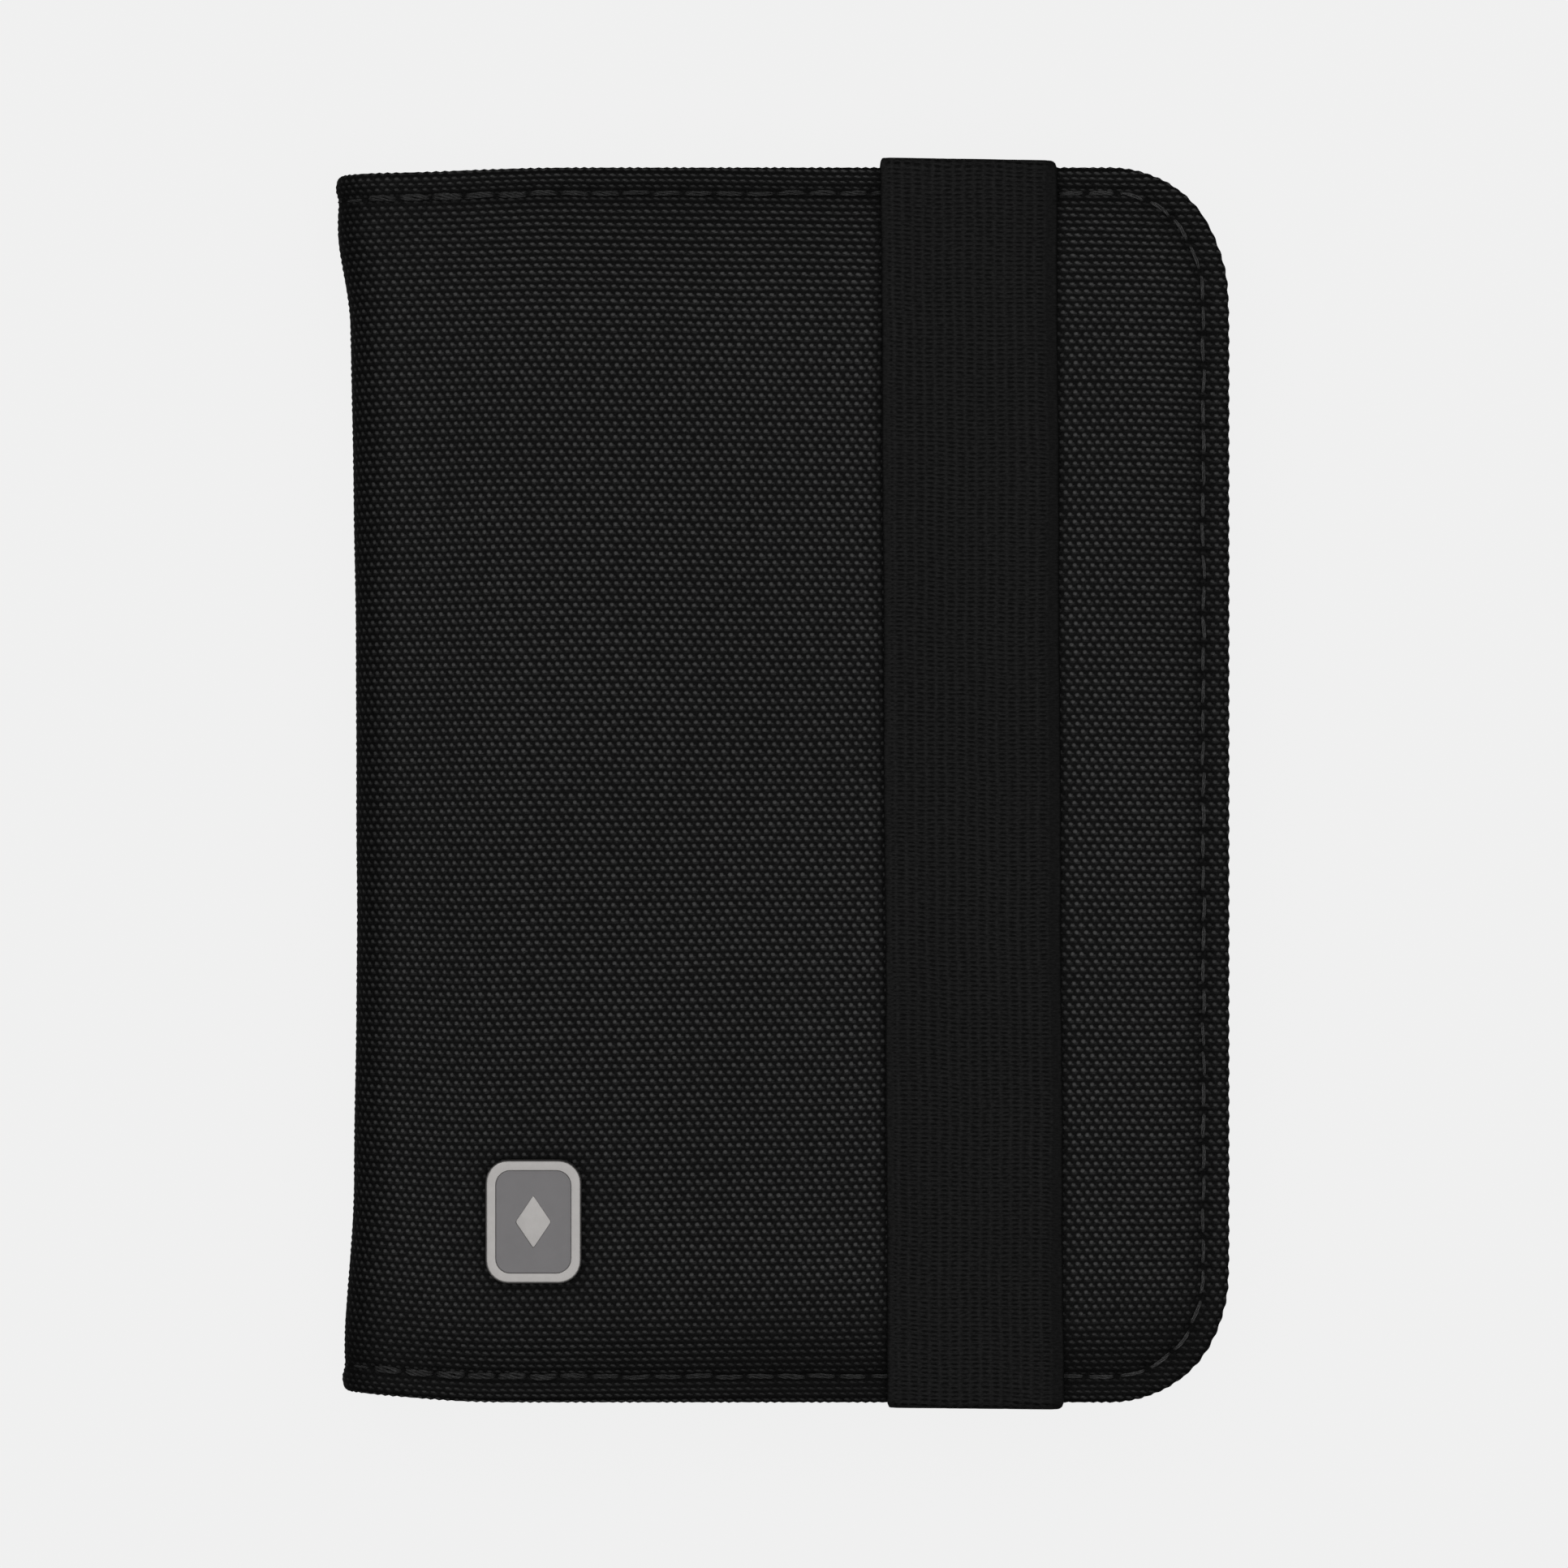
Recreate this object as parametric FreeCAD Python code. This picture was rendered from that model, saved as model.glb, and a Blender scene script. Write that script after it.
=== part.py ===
"""Bifold travel wallet for a passport, closed and lying on its back cover. Millimetres.

+X runs from the spine to the free edge, +Y to the top edge, +Z up through the closed wallet.
The origin is the middle of the footprint, on the surface that the wallet lies on.

Each cover is a turned-edge fabric shell round a foam pad, a stiff board and a shielding layer,
closed by a lining. A soft spine with two fold lines joins the covers. The back cover's inside
carries a passport sleeve whose mouth faces the spine, and the front cover's inside a slip pocket
and stepped card slots. A wide elastic band, caught in the top and bottom seams of the back cover,
holds the wallet shut. A metal badge is clenched through the front shell on a backing plate.

The back cover is modelled in place. The front cover's laminate is its mirror image.
"""

import FreeCAD
import Part

import math
import os

from FreeCAD import Vector

# Overall size of the closed wallet, without its band
WIDTH = 101.0
HEIGHT = 140.0
THICK = 11.2
CORNER_R = 13.5

# Cover laminate, from the outside in
SHELL_T = 0.5
FOAM_T = 0.6
BOARD_T = 0.5
SHIELD_T = 0.5
LINING_T = 0.3
PAD_INSET = 5.0
HEM_W = 7.0
LINING_INSET = 1.5
EDGE_ROUND = 0.55
BOARD_LEFT = -43.5

# Soft spine: the fold lines lie FOLD_D inside the outer faces
FOLD_D = 0.6
COVER_GAP = 0.7
SPINE_GAP = 0.8
SPINE_LINING_GAP = 0.2

# Edge stitching
STITCH_INSET = 3.0
STITCH_PITCH = 3.5
STITCH_L = 2.9
STITCH_W = 0.5
STITCH_H = 0.25

# Passport sleeve on the back cover
SLEEVE_MOUTH_X = -15.0
SLEEVE_INSET = 4.5
SLEEVE_DEPTH = 4.4
SLEEVE_WALL = 0.6
SLEEVE_PANEL_T = 0.4
BINDING_W = 4.0
BINDING_T = 0.15
BARTACK = (3.0, 1.0, 0.2)

# Pockets on the front cover, stacked flat: the height of each mouth above the middle
POCKET_T = 0.3
POCKET_INSET = 4.0
SLIP_MOUTH_Y = 50.0
CARD_MOUTHS_Y = (24.0, 10.0, -4.0)

# Elastic band
BAND_W = 20.0
BAND_T = 1.0
BAND_X = 21.5
BAND_GAP = 0.15
BAND_LIP = 5.15
BAND_TAIL = 3.7
BAND_ROUND = 0.9

# Badge
BADGE_X, BADGE_Y = -28.4, -49.6
BADGE_W, BADGE_H, BADGE_R = 10.9, 14.0, 2.6
BADGE_T = 1.3
BADGE_RIM = 1.0
BADGE_FLOOR = 0.8
BADGE_ROUND = 0.35
ENAMEL_T = 0.28
MOTIF_W, MOTIF_H = 4.2, 6.2
PRONG_Y = 3.6
PRONG = (2.4, 0.5)
PRONG_FOOT = 2.0
PLATE = (5.0, 11.0, 0.3)
SLOT_CLEAR = 0.1

# Places worked out from the sizes above
RIGHT = WIDTH / 2
TOP = HEIGHT / 2
FOLD_X = -RIGHT + FOLD_D
COVER_LEFT = FOLD_X + COVER_GAP
FOAM_Z = SHELL_T
BOARD_Z = FOAM_Z + FOAM_T
HEM_Z = BOARD_Z + BOARD_T
LINING_Z = HEM_Z + SHIELD_T
INSIDE_Z = LINING_Z + LINING_T
BORDER_Z = FOAM_T
PANEL_Z = INSIDE_Z + SLEEVE_DEPTH
FRONT_INSIDE_Z = THICK - INSIDE_Z


def box(x0, x1, y0, y1, z0, z1):
    return Part.makeBox(x1 - x0, y1 - y0, z1 - z0, Vector(x0, y0, z0))


def outline(inset, left):
    """The cover's outline, inset on its three sewn sides, with its straight spine side at left."""
    right, top, r = RIGHT - inset, TOP - inset, CORNER_R - inset
    k = r * (1 - math.sqrt(0.5))
    a, b = Vector(left, -top, 0), Vector(right - r, -top, 0)
    c, d = Vector(right, r - top, 0), Vector(right, top - r, 0)
    e, f = Vector(right - r, top, 0), Vector(left, top, 0)
    return Part.Wire([
        Part.LineSegment(a, b).toShape(),
        Part.Arc(b, Vector(right - k, k - top, 0), c).toShape(),
        Part.LineSegment(c, d).toShape(),
        Part.Arc(d, Vector(right - k, top - k, 0), e).toShape(),
        Part.LineSegment(e, f).toShape(),
        Part.LineSegment(f, a).toShape(),
    ])


def plate(inset, left, z0, z1):
    """A flat sheet of the cover's outline between two heights."""
    sheet = Part.Face(outline(inset, left)).extrude(Vector(0, 0, z1 - z0))
    sheet.translate(Vector(0, 0, z0))
    return sheet


def rounded_rectangle(x, y, width, height, radius, z0, z1):
    """A block with rounded upright edges."""
    block = box(x - width / 2, x + width / 2, y - height / 2, y + height / 2, z0, z1)
    upright = [e for e in block.Edges if abs(e.Vertexes[0].Z - e.Vertexes[1].Z) > 1e-6]
    return block.makeFillet(radius, upright)


def edges_at(shape, z):
    """The edges of a shape that lie in one level plane."""
    return [e for e in shape.Edges if abs(e.BoundBox.ZMin - z) < 1e-6 and abs(e.BoundBox.ZMax - z) < 1e-6]


def sewn_edges_at(shape, z, inset):
    """The edges in one level plane that follow the three sewn sides at that inset."""
    found = []
    for e in edges_at(shape, z):
        middle = e.valueAt((e.FirstParameter + e.LastParameter) / 2)
        if middle.x > COVER_LEFT + 1 and outward(middle.x, middle.y) > -inset - 0.05:
            found.append(e)
    return found


def outward(x, y):
    """How far a point lies outside the cover's outline, negative inside."""
    dx = abs(x) - (RIGHT - CORNER_R)
    dy = abs(y) - (TOP - CORNER_R)
    if x > 0 and dx > 0 and dy > 0:
        return math.hypot(dx, dy) - CORNER_R
    return max(x - RIGHT, abs(y) - TOP)


def to_front(shape):
    """The front cover's copy of a back cover piece."""
    return shape.mirror(Vector(0, 0, THICK / 2), Vector(0, 0, 1))


def cover_shell():
    """Outer fabric: flat face over the pad, stepped in along the seam, its edge turned to the inside."""
    past = COVER_LEFT - 1
    block = plate(0, COVER_LEFT, BORDER_Z, LINING_Z)
    block = block.makeFillet(EDGE_ROUND, sewn_edges_at(block, BORDER_Z, 0) + sewn_edges_at(block, LINING_Z, 0))
    raised = plate(PAD_INSET, COVER_LEFT, 0, BORDER_Z)
    raised = raised.makeChamfer(BORDER_Z * 0.6, sewn_edges_at(raised, 0, PAD_INSET))
    shell = block.fuse(raised)
    shell = shell.cut(plate(PAD_INSET + SHELL_T, past, FOAM_Z, BOARD_Z))
    shell = shell.cut(plate(SHELL_T, past, BOARD_Z, HEM_Z))
    shell = shell.cut(plate(HEM_W, past, HEM_Z, LINING_Z))
    return shell.removeSplitter()


def cover_foam():
    return plate(PAD_INSET + SHELL_T, BOARD_LEFT, FOAM_Z, BOARD_Z)


def cover_board():
    return plate(SHELL_T, BOARD_LEFT, BOARD_Z, HEM_Z)


def cover_shield():
    return plate(HEM_W, BOARD_LEFT, HEM_Z, LINING_Z)


def cover_lining():
    return plate(LINING_INSET, COVER_LEFT, LINING_Z, INSIDE_Z)


def seam_point(s):
    """The point and direction at length s along the seam: bottom edge, free edge, top edge."""
    right, top, r = RIGHT - STITCH_INSET, TOP - STITCH_INSET, CORNER_R - STITCH_INSET
    start = COVER_LEFT + 1.5
    along, up, turn = right - r - start, 2 * (top - r), r * math.pi / 2
    if s < along:
        return start + s, -top, 0.0
    s -= along
    if s < turn:
        a = s / r
        return right - r + r * math.sin(a), -top + r - r * math.cos(a), a
    s -= turn
    if s < up:
        return right, r - top + s, math.pi / 2
    s -= up
    if s < turn:
        a = s / r
        return right - r + r * math.cos(a), top - r + r * math.sin(a), math.pi / 2 + a
    return right - r - (s - turn), top, math.pi


def seam_length():
    right, top, r = RIGHT - STITCH_INSET, TOP - STITCH_INSET, CORNER_R - STITCH_INSET
    return 2 * (right - r - COVER_LEFT - 1.5) + 2 * (top - r) + r * math.pi


def edge_stitching():
    """The thread on the outside of the seam, one solid for each stitch."""
    count = int(seam_length() / STITCH_PITCH)
    stitches = []
    for n in range(count):
        x, y, a = seam_point((n + 0.5) * seam_length() / count)
        stitch = box(-STITCH_L / 2, STITCH_L / 2, -STITCH_W / 2, STITCH_W / 2, BORDER_Z - STITCH_H, BORDER_Z)
        stitch.rotate(Vector(0, 0, 0), Vector(0, 0, 1), math.degrees(a))
        stitch.translate(Vector(x, y, 0))
        stitches.append(stitch)
    return Part.makeCompound(stitches)


def tail_box(side, clear=0.0):
    """The end of the band inside the seam at the top (side 1) or bottom (side -1)."""
    y0, y1 = TOP - BAND_TAIL - clear, TOP
    x0, x1 = BAND_X - BAND_W / 2 - clear, BAND_X + BAND_W / 2 + clear
    return box(x0, x1, min(side * y0, side * y1), max(side * y0, side * y1), LINING_Z, LINING_Z + BAND_T)


def band_turn(side):
    """The band's run up the edge and its short lip over the front cover."""
    x0, x1 = BAND_X - BAND_W / 2, BAND_X + BAND_W / 2
    inner, outer = TOP + BAND_GAP, TOP + BAND_GAP + BAND_T
    z1 = THICK + BAND_GAP + BAND_T
    wall = box(x0, x1, inner, outer, LINING_Z, z1)
    lip = box(x0, x1, outer - BAND_LIP, outer, z1 - BAND_T, z1)
    turn = wall.fuse(lip).removeSplitter()
    corner = [e for e in turn.Edges
              if abs(e.BoundBox.ZMin - z1) < 1e-6 and abs(e.BoundBox.YMin - outer) < 1e-6
              and abs(e.BoundBox.YMax - outer) < 1e-6]
    turn = turn.makeFillet(BAND_ROUND, corner)
    return turn if side > 0 else turn.mirror(Vector(0, 0, 0), Vector(0, 1, 0))


def band_span():
    x0, x1 = BAND_X - BAND_W / 2, BAND_X + BAND_W / 2
    half = TOP + BAND_GAP + BAND_T - BAND_LIP
    z0 = THICK + BAND_GAP
    return box(x0, x1, -half, half, z0, z0 + BAND_T)


def sleeve_gusset():
    """The sleeve's side wall on its three sewn sides."""
    ring = plate(SLEEVE_INSET, SLEEVE_MOUTH_X, INSIDE_Z, PANEL_Z)
    return ring.cut(plate(SLEEVE_INSET + SLEEVE_WALL, SLEEVE_MOUTH_X - 1, INSIDE_Z - 1, PANEL_Z + 1))


def sleeve_panel():
    return plate(SLEEVE_INSET, SLEEVE_MOUTH_X, PANEL_Z, PANEL_Z + SLEEVE_PANEL_T)


def sleeve_binding():
    """The tape folded over the sleeve's mouth."""
    half = TOP - SLEEVE_INSET - SLEEVE_WALL - 0.2
    tape = box(SLEEVE_MOUTH_X - BINDING_T, SLEEVE_MOUTH_X + BINDING_W, -half, half,
               PANEL_Z - BINDING_T, PANEL_Z + SLEEVE_PANEL_T + BINDING_T)
    return tape.cut(sleeve_panel())


def sleeve_bartacks():
    """The dense stitches that lock the two ends of the sleeve's mouth."""
    length, width, height = BARTACK
    x0 = SLEEVE_MOUTH_X + BINDING_W + 0.3
    y0 = TOP - SLEEVE_INSET - SLEEVE_WALL - 1.4
    z0 = PANEL_Z + SLEEVE_PANEL_T
    tacks = [box(x0, x0 + length, y - width / 2, y + width / 2, z0, z0 + height) for y in (y0, -y0)]
    return Part.makeCompound(tacks)


def flat_pocket(layer, mouth_y):
    """A pocket panel on the front cover's inside, sewn along its sides and foot."""
    z1 = FRONT_INSIDE_Z - layer * POCKET_T
    panel = plate(POCKET_INSET, BOARD_LEFT + 0.5, z1 - POCKET_T, z1)
    return panel.cut(box(-WIDTH, WIDTH, mouth_y, HEIGHT, 0, THICK))


def badge_slots(grow):
    """The prongs where they pass through the shell, grown by a clearance."""
    length, width = PRONG[0] / 2 + grow, PRONG[1] / 2 + grow
    z0, z1 = THICK - SHELL_T - PLATE[2], THICK
    return [box(BADGE_X - length, BADGE_X + length, BADGE_Y + y - width, BADGE_Y + y + width, z0, z1)
            for y in (PRONG_Y, -PRONG_Y)]


def badge_feet():
    """The prongs' ends, bent flat under the backing plate and towards each other."""
    half, width = PRONG[0] / 2, PRONG[1] / 2
    z1 = THICK - SHELL_T - PLATE[2]
    z0 = THICK - BOARD_Z
    far, near = PRONG_Y + width, PRONG_Y + width - PRONG_FOOT
    return [box(BADGE_X - half, BADGE_X + half, BADGE_Y + near, BADGE_Y + far, z0, z1),
            box(BADGE_X - half, BADGE_X + half, BADGE_Y - far, BADGE_Y - near, z0, z1)]


def badge_motif(z0, z1):
    """A plain upright lozenge."""
    points = [Vector(BADGE_X, BADGE_Y - MOTIF_H / 2, z0), Vector(BADGE_X + MOTIF_W / 2, BADGE_Y, z0),
              Vector(BADGE_X, BADGE_Y + MOTIF_H / 2, z0), Vector(BADGE_X - MOTIF_W / 2, BADGE_Y, z0)]
    lozenge = Part.Face(Part.makePolygon(points + points[:1]))
    return lozenge.extrude(Vector(0, 0, z1 - z0))


def badge_recess(z0, z1):
    width, height, radius = BADGE_W - 2 * BADGE_RIM, BADGE_H - 2 * BADGE_RIM, BADGE_R - BADGE_RIM * 0.8
    return rounded_rectangle(BADGE_X, BADGE_Y, width, height, radius, z0, z1)


def badge_frame():
    """The cast frame with its rim, raised motif and two clenched prongs."""
    z1 = THICK + BADGE_T
    frame = rounded_rectangle(BADGE_X, BADGE_Y, BADGE_W, BADGE_H, BADGE_R, THICK, z1)
    frame = frame.makeFillet(BADGE_ROUND, edges_at(frame, z1))
    frame = frame.cut(badge_recess(THICK + BADGE_FLOOR, z1 + 1))
    frame = frame.fuse(badge_motif(THICK + BADGE_FLOOR - 0.1, z1 - 0.1))
    return frame.multiFuse(badge_slots(0) + badge_feet()).removeSplitter()


def badge_enamel():
    z0 = THICK + BADGE_FLOOR
    enamel = badge_recess(z0, z0 + ENAMEL_T)
    return enamel.cut(badge_motif(z0 - 0.2, z0 + 1))


def badge_plate():
    width, height, thick = PLATE
    z1 = THICK - SHELL_T
    block = rounded_rectangle(BADGE_X, BADGE_Y, width, height, 0.8, z1 - thick, z1)
    for slot in badge_slots(SLOT_CLEAR):
        block = block.cut(slot)
    return block


def front_shell():
    shell = to_front(cover_shell())
    for slot in badge_slots(SLOT_CLEAR):
        shell = shell.cut(slot)
    return shell


def front_foam():
    """The pad, with a window for the badge's backing plate."""
    width, height = PLATE[0] + 0.6, PLATE[1] + 0.6
    window = box(BADGE_X - width / 2, BADGE_X + width / 2, BADGE_Y - height / 2, BADGE_Y + height / 2, 0, THICK)
    return to_front(cover_foam()).cut(window)


def back_lining():
    """The lining, notched round the two caught ends of the band."""
    lining = cover_lining()
    for side in (1, -1):
        lining = lining.cut(tail_box(side, 0.2))
    return lining


def spine_shell():
    z0 = FOLD_D + SPINE_GAP
    return box(-RIGHT, -RIGHT + SHELL_T, -TOP, TOP, z0, THICK - z0)


def spine_lining():
    z0 = FOLD_D + SPINE_GAP + 0.2
    x0 = -RIGHT + SHELL_T + SPINE_LINING_GAP
    top = TOP - LINING_INSET
    return box(x0, x0 + LINING_T, -top, top, z0, THICK - z0)


def all_parts():
    parts = {
        "back_shell": cover_shell(),
        "back_foam": cover_foam(),
        "back_board": cover_board(),
        "back_shield": cover_shield(),
        "back_lining": back_lining(),
        "back_edge_stitching": edge_stitching(),
        "passport_sleeve_gusset": sleeve_gusset(),
        "passport_sleeve_panel": sleeve_panel(),
        "passport_sleeve_binding": sleeve_binding(),
        "passport_sleeve_bartacks": sleeve_bartacks(),
        "band_top_tail": tail_box(1),
        "band_bottom_tail": tail_box(-1),
        "spine_shell": spine_shell(),
        "spine_lining": spine_lining(),
        "front_shell": front_shell(),
        "front_foam": front_foam(),
        "front_board": to_front(cover_board()),
        "front_shield": to_front(cover_shield()),
        "front_lining": to_front(cover_lining()),
        "front_edge_stitching": to_front(edge_stitching()),
        "slip_pocket": flat_pocket(0, SLIP_MOUTH_Y),
        "badge_frame": badge_frame(),
        "badge_enamel": badge_enamel(),
        "badge_backing_plate": badge_plate(),
        "band_front_span": band_span(),
        "band_top_turn": band_turn(1),
        "band_bottom_turn": band_turn(-1),
    }
    for n, mouth_y in enumerate(CARD_MOUTHS_Y, start=1):
        parts[f"card_slot_{n}"] = flat_pocket(n, mouth_y)
    return parts


def main():
    os.makedirs("parts", exist_ok=True)
    for name, shape in all_parts().items():
        if not shape.isValid() or not shape.Solids:
            raise ValueError(f"{name} is not a valid solid")
        shape.exportStep(f"parts/{name}.step")
        size = shape.BoundBox
        print(f"{name:26s} {len(shape.Solids):3d} solids {shape.Volume:9.1f} mm3 "
              f"x {size.XMin:7.2f} {size.XMax:7.2f} y {size.YMin:7.2f} {size.YMax:7.2f} "
              f"z {size.ZMin:6.2f} {size.ZMax:6.2f}")
    print(f"fold lines at x {FOLD_X:.2f}, z {FOLD_D:.2f} and {THICK - FOLD_D:.2f}")


main()
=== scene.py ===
"""Looks of a bifold passport wallet, closed on its back cover with its elastic band on.

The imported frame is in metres. Shapes here are worked out in millimetres, and mesh_piece()
makes them in metres. A cover is laid out flat first: s runs along its outer face from the middle
of the spine to the free edge, y runs up the height, and h is the height over that face. A Wrap
then takes the flat layout round the spine. The back cover is the front cover's mirror image.
"""
import math

import bpy
import numpy as np
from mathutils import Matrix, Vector


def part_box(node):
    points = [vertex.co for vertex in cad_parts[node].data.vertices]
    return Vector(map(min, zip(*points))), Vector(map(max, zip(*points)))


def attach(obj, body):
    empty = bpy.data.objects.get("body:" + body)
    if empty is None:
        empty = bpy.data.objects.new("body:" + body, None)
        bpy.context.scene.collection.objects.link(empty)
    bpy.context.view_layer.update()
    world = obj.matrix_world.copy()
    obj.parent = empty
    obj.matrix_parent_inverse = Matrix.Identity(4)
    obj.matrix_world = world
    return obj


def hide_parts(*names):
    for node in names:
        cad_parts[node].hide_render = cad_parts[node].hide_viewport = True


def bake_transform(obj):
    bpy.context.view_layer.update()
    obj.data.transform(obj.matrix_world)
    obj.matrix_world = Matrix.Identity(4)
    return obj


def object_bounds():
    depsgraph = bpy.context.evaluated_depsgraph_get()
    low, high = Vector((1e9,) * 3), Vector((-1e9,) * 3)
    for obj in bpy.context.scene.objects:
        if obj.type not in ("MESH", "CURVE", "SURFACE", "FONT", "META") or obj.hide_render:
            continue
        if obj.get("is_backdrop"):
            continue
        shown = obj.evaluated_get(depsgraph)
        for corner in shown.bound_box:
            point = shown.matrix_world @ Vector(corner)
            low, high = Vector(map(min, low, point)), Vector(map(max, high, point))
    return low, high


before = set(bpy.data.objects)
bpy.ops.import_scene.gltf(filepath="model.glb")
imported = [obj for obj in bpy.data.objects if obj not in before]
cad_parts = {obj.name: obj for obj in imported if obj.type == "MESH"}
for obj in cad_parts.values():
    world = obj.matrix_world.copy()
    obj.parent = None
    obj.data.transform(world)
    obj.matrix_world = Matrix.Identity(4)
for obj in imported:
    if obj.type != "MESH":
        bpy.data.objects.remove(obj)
cad_low, cad_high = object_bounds()

MM = 0.001
QUARTER = math.pi / 2


def box_mm(node):
    """A CAD node's lowest and highest corners in millimetres."""
    return np.array(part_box(node)) / MM


# Places taken from the frame
RIGHT, TOP, THICK = box_mm("front_shell")[1]
LEFT = box_mm("spine_shell")[0][0]
MIDDLE_Z = THICK / 2
LINING_LOW, LINING_HIGH = box_mm("front_lining")
SPAN_LOW, SPAN_HIGH = box_mm("band_front_span")
TURN_LOW, TURN_HIGH = box_mm("band_top_turn")
BADGE_LOW, BADGE_HIGH = box_mm("badge_enamel")
BADGE_X, BADGE_Y = (BADGE_LOW[:2] + BADGE_HIGH[:2]) / 2
FRAME_TOP = box_mm("badge_frame")[1][2]

# Cover
CORNER_R = 13.5
EDGE_ROUND = 0.85
EDGE_THICK, SPINE_EDGE_THICK = 1.7, 1.15
BORDER_DROP = 0.55
PAD_START, PAD_FULL = 3.3, 8.5
SWELL = 0.3
ROLL_X = -44.3
ROLL_POWER = 2.25
SEAM_INSET = 3.0
EDGE_STEPS = 8
HEM_RINGS = (0.8, 2.0, 3.6)
STITCH_PITCH, PLIES, PLY_R = 3.5, 4, 0.135
STITCH_SEEDS = {"front": 3, "back": 7}

# Outer cloth: yarn spacings of its plain weave, and its brightest nub, whose brightness is partly the yarn's
# own colour and partly a painted highlight on its crown
WARP, WEFT = 0.5155, 0.8224
CLOTH_PALE = 0.047

# Elastic band
BAND_W, BAND_X, BAND_LEAN = 20.0, 21.35, 0.4
BAND_EDGE, BAND_CORNER = 0.42, 0.85
RIB_PITCH, COLUMN_PITCH = 0.53, 1.15
BAND_SPLIT, BAND_LEVEL_Z = 66.0, 11.8
BAND_PALE = 0.0103

# Badge
BADGE_W, BADGE_H, BADGE_R = 10.9, 14.0, 2.6
BADGE_RIM = 1.2

# Inside
LINING_INSET, POCKET_INSET, SLEEVE_INSET = 1.5, 4.0, 4.5
LINING_INWARD = 1.05
SLEEVE_CLOTH, TAPE_CLOTH, BINDING_CLOTH = 0.35, 0.2, 0.22
TAPE_HALF, TAPE_END = 2.0, 4.0
FINE_PITCH, FINE_R, BARTACK_R = 2.6, 0.14, 0.13
MOUTH_SEAM, MOUTH_SEAM_END = 1.8, 5.2

# Studio
PALE = 0.871
FLOOR_ALBEDO, FLOOR_GLOW = 0.03, 0.842
FLOOR_HALF, FLOOR_Z = 3.0, -0.00003
DOME_LIGHT = 0.22
SOFTBOX_POWER, KEY_POWER = 14.0, 1.6
SEEN_WIDTH = 0.17795


def smooth(low, high, value):
    """0 below low, 1 above high, and an even turn between them."""
    t = np.clip((value - low) / (high - low), 0, 1)
    return t * t * (3 - 2 * t)


def bump(value, width):
    """A single hump, 1 at 0 and narrow as width."""
    return np.exp(-(value / width) ** 2)


def run_of(points):
    """Length along a line of points, at each of them."""
    return np.concatenate([[0], np.cumsum(np.linalg.norm(np.diff(points, axis=0), axis=1))])


def rows(*columns):
    """Points, one a row, from their coordinates."""
    return np.stack(np.broadcast_arrays(*columns), -1).reshape(-1, len(columns))


def add_object(name, data):
    """A new object in the scene."""
    made = bpy.data.objects.new(name, data)
    bpy.context.scene.collection.objects.link(made)
    return made


# ---- pieces and meshes

def mesh_piece(name, points, faces, material, uv=None, traits=None):
    """A smooth-shaded mesh object from points and uv in millimetres, with values at its points."""
    mesh = bpy.data.meshes.new(name)
    mesh.from_pydata((np.asarray(points) * MM).tolist(), [], [list(map(int, f)) for f in faces])
    if uv is not None:
        corners = np.zeros(len(mesh.loops), np.int32)
        mesh.loops.foreach_get("vertex_index", corners)
        flat = (np.asarray(uv)[corners] * MM).astype(np.float32)
        mesh.uv_layers.new(name="cloth").data.foreach_set("uv", flat.ravel())
    for trait, values in (traits or {}).items():
        layer = mesh.attributes.new(trait, "FLOAT", "POINT")
        layer.data.foreach_set("value", np.asarray(values, np.float32))
    mesh.shade_smooth()
    mesh.materials.append(material)
    mesh.update()
    return add_object(name, mesh)


def mirrored_back(points, faces):
    """Points and faces of the front cover turned into the back cover's."""
    points[:, 2] = THICK - points[:, 2]
    return points, turned_over(faces)


def grid_faces(count, columns, closed=False):
    """Quads of a grid of points stored row by row. A closed grid joins its last column to its first."""
    k = np.arange(count * columns).reshape(count, columns)
    if closed:
        k = np.column_stack([k, k[:, 0]])
    return rows(k[:-1, :-1], k[1:, :-1], k[1:, 1:], k[:-1, 1:])


def tube_faces(count, columns):
    """Faces of a tube of rings, with both its ends closed."""
    first = list(range(columns))
    last = [(count - 1) * columns + k for k in first[::-1]]
    return [*grid_faces(count, columns, closed=True).tolist(), first, last]


def turned_over(faces):
    return [face[::-1] for face in faces]


def thicken(piece, thick):
    """Gives a single sheet its cloth thickness, on its inner side."""
    walls = piece.modifiers.new("thickness", "SOLIDIFY")
    walls.thickness, walls.offset, walls.use_even_offset = thick * MM, -1.0, True
    return piece


def place(piece, body, slot, *nodes):
    """The piece rides on a body and stands for CAD nodes, which are hidden. The slot is not used."""
    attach(piece, body)
    if nodes:
        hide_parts(*nodes)
    return piece


# ---- materials

def math_step(operation, flipped=False):
    """A method of Value that adds one math node."""
    def step(self, *others):
        values = (*others, self) if flipped else (self, *others)
        return self.recipe.math(operation, *values)
    return step


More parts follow.
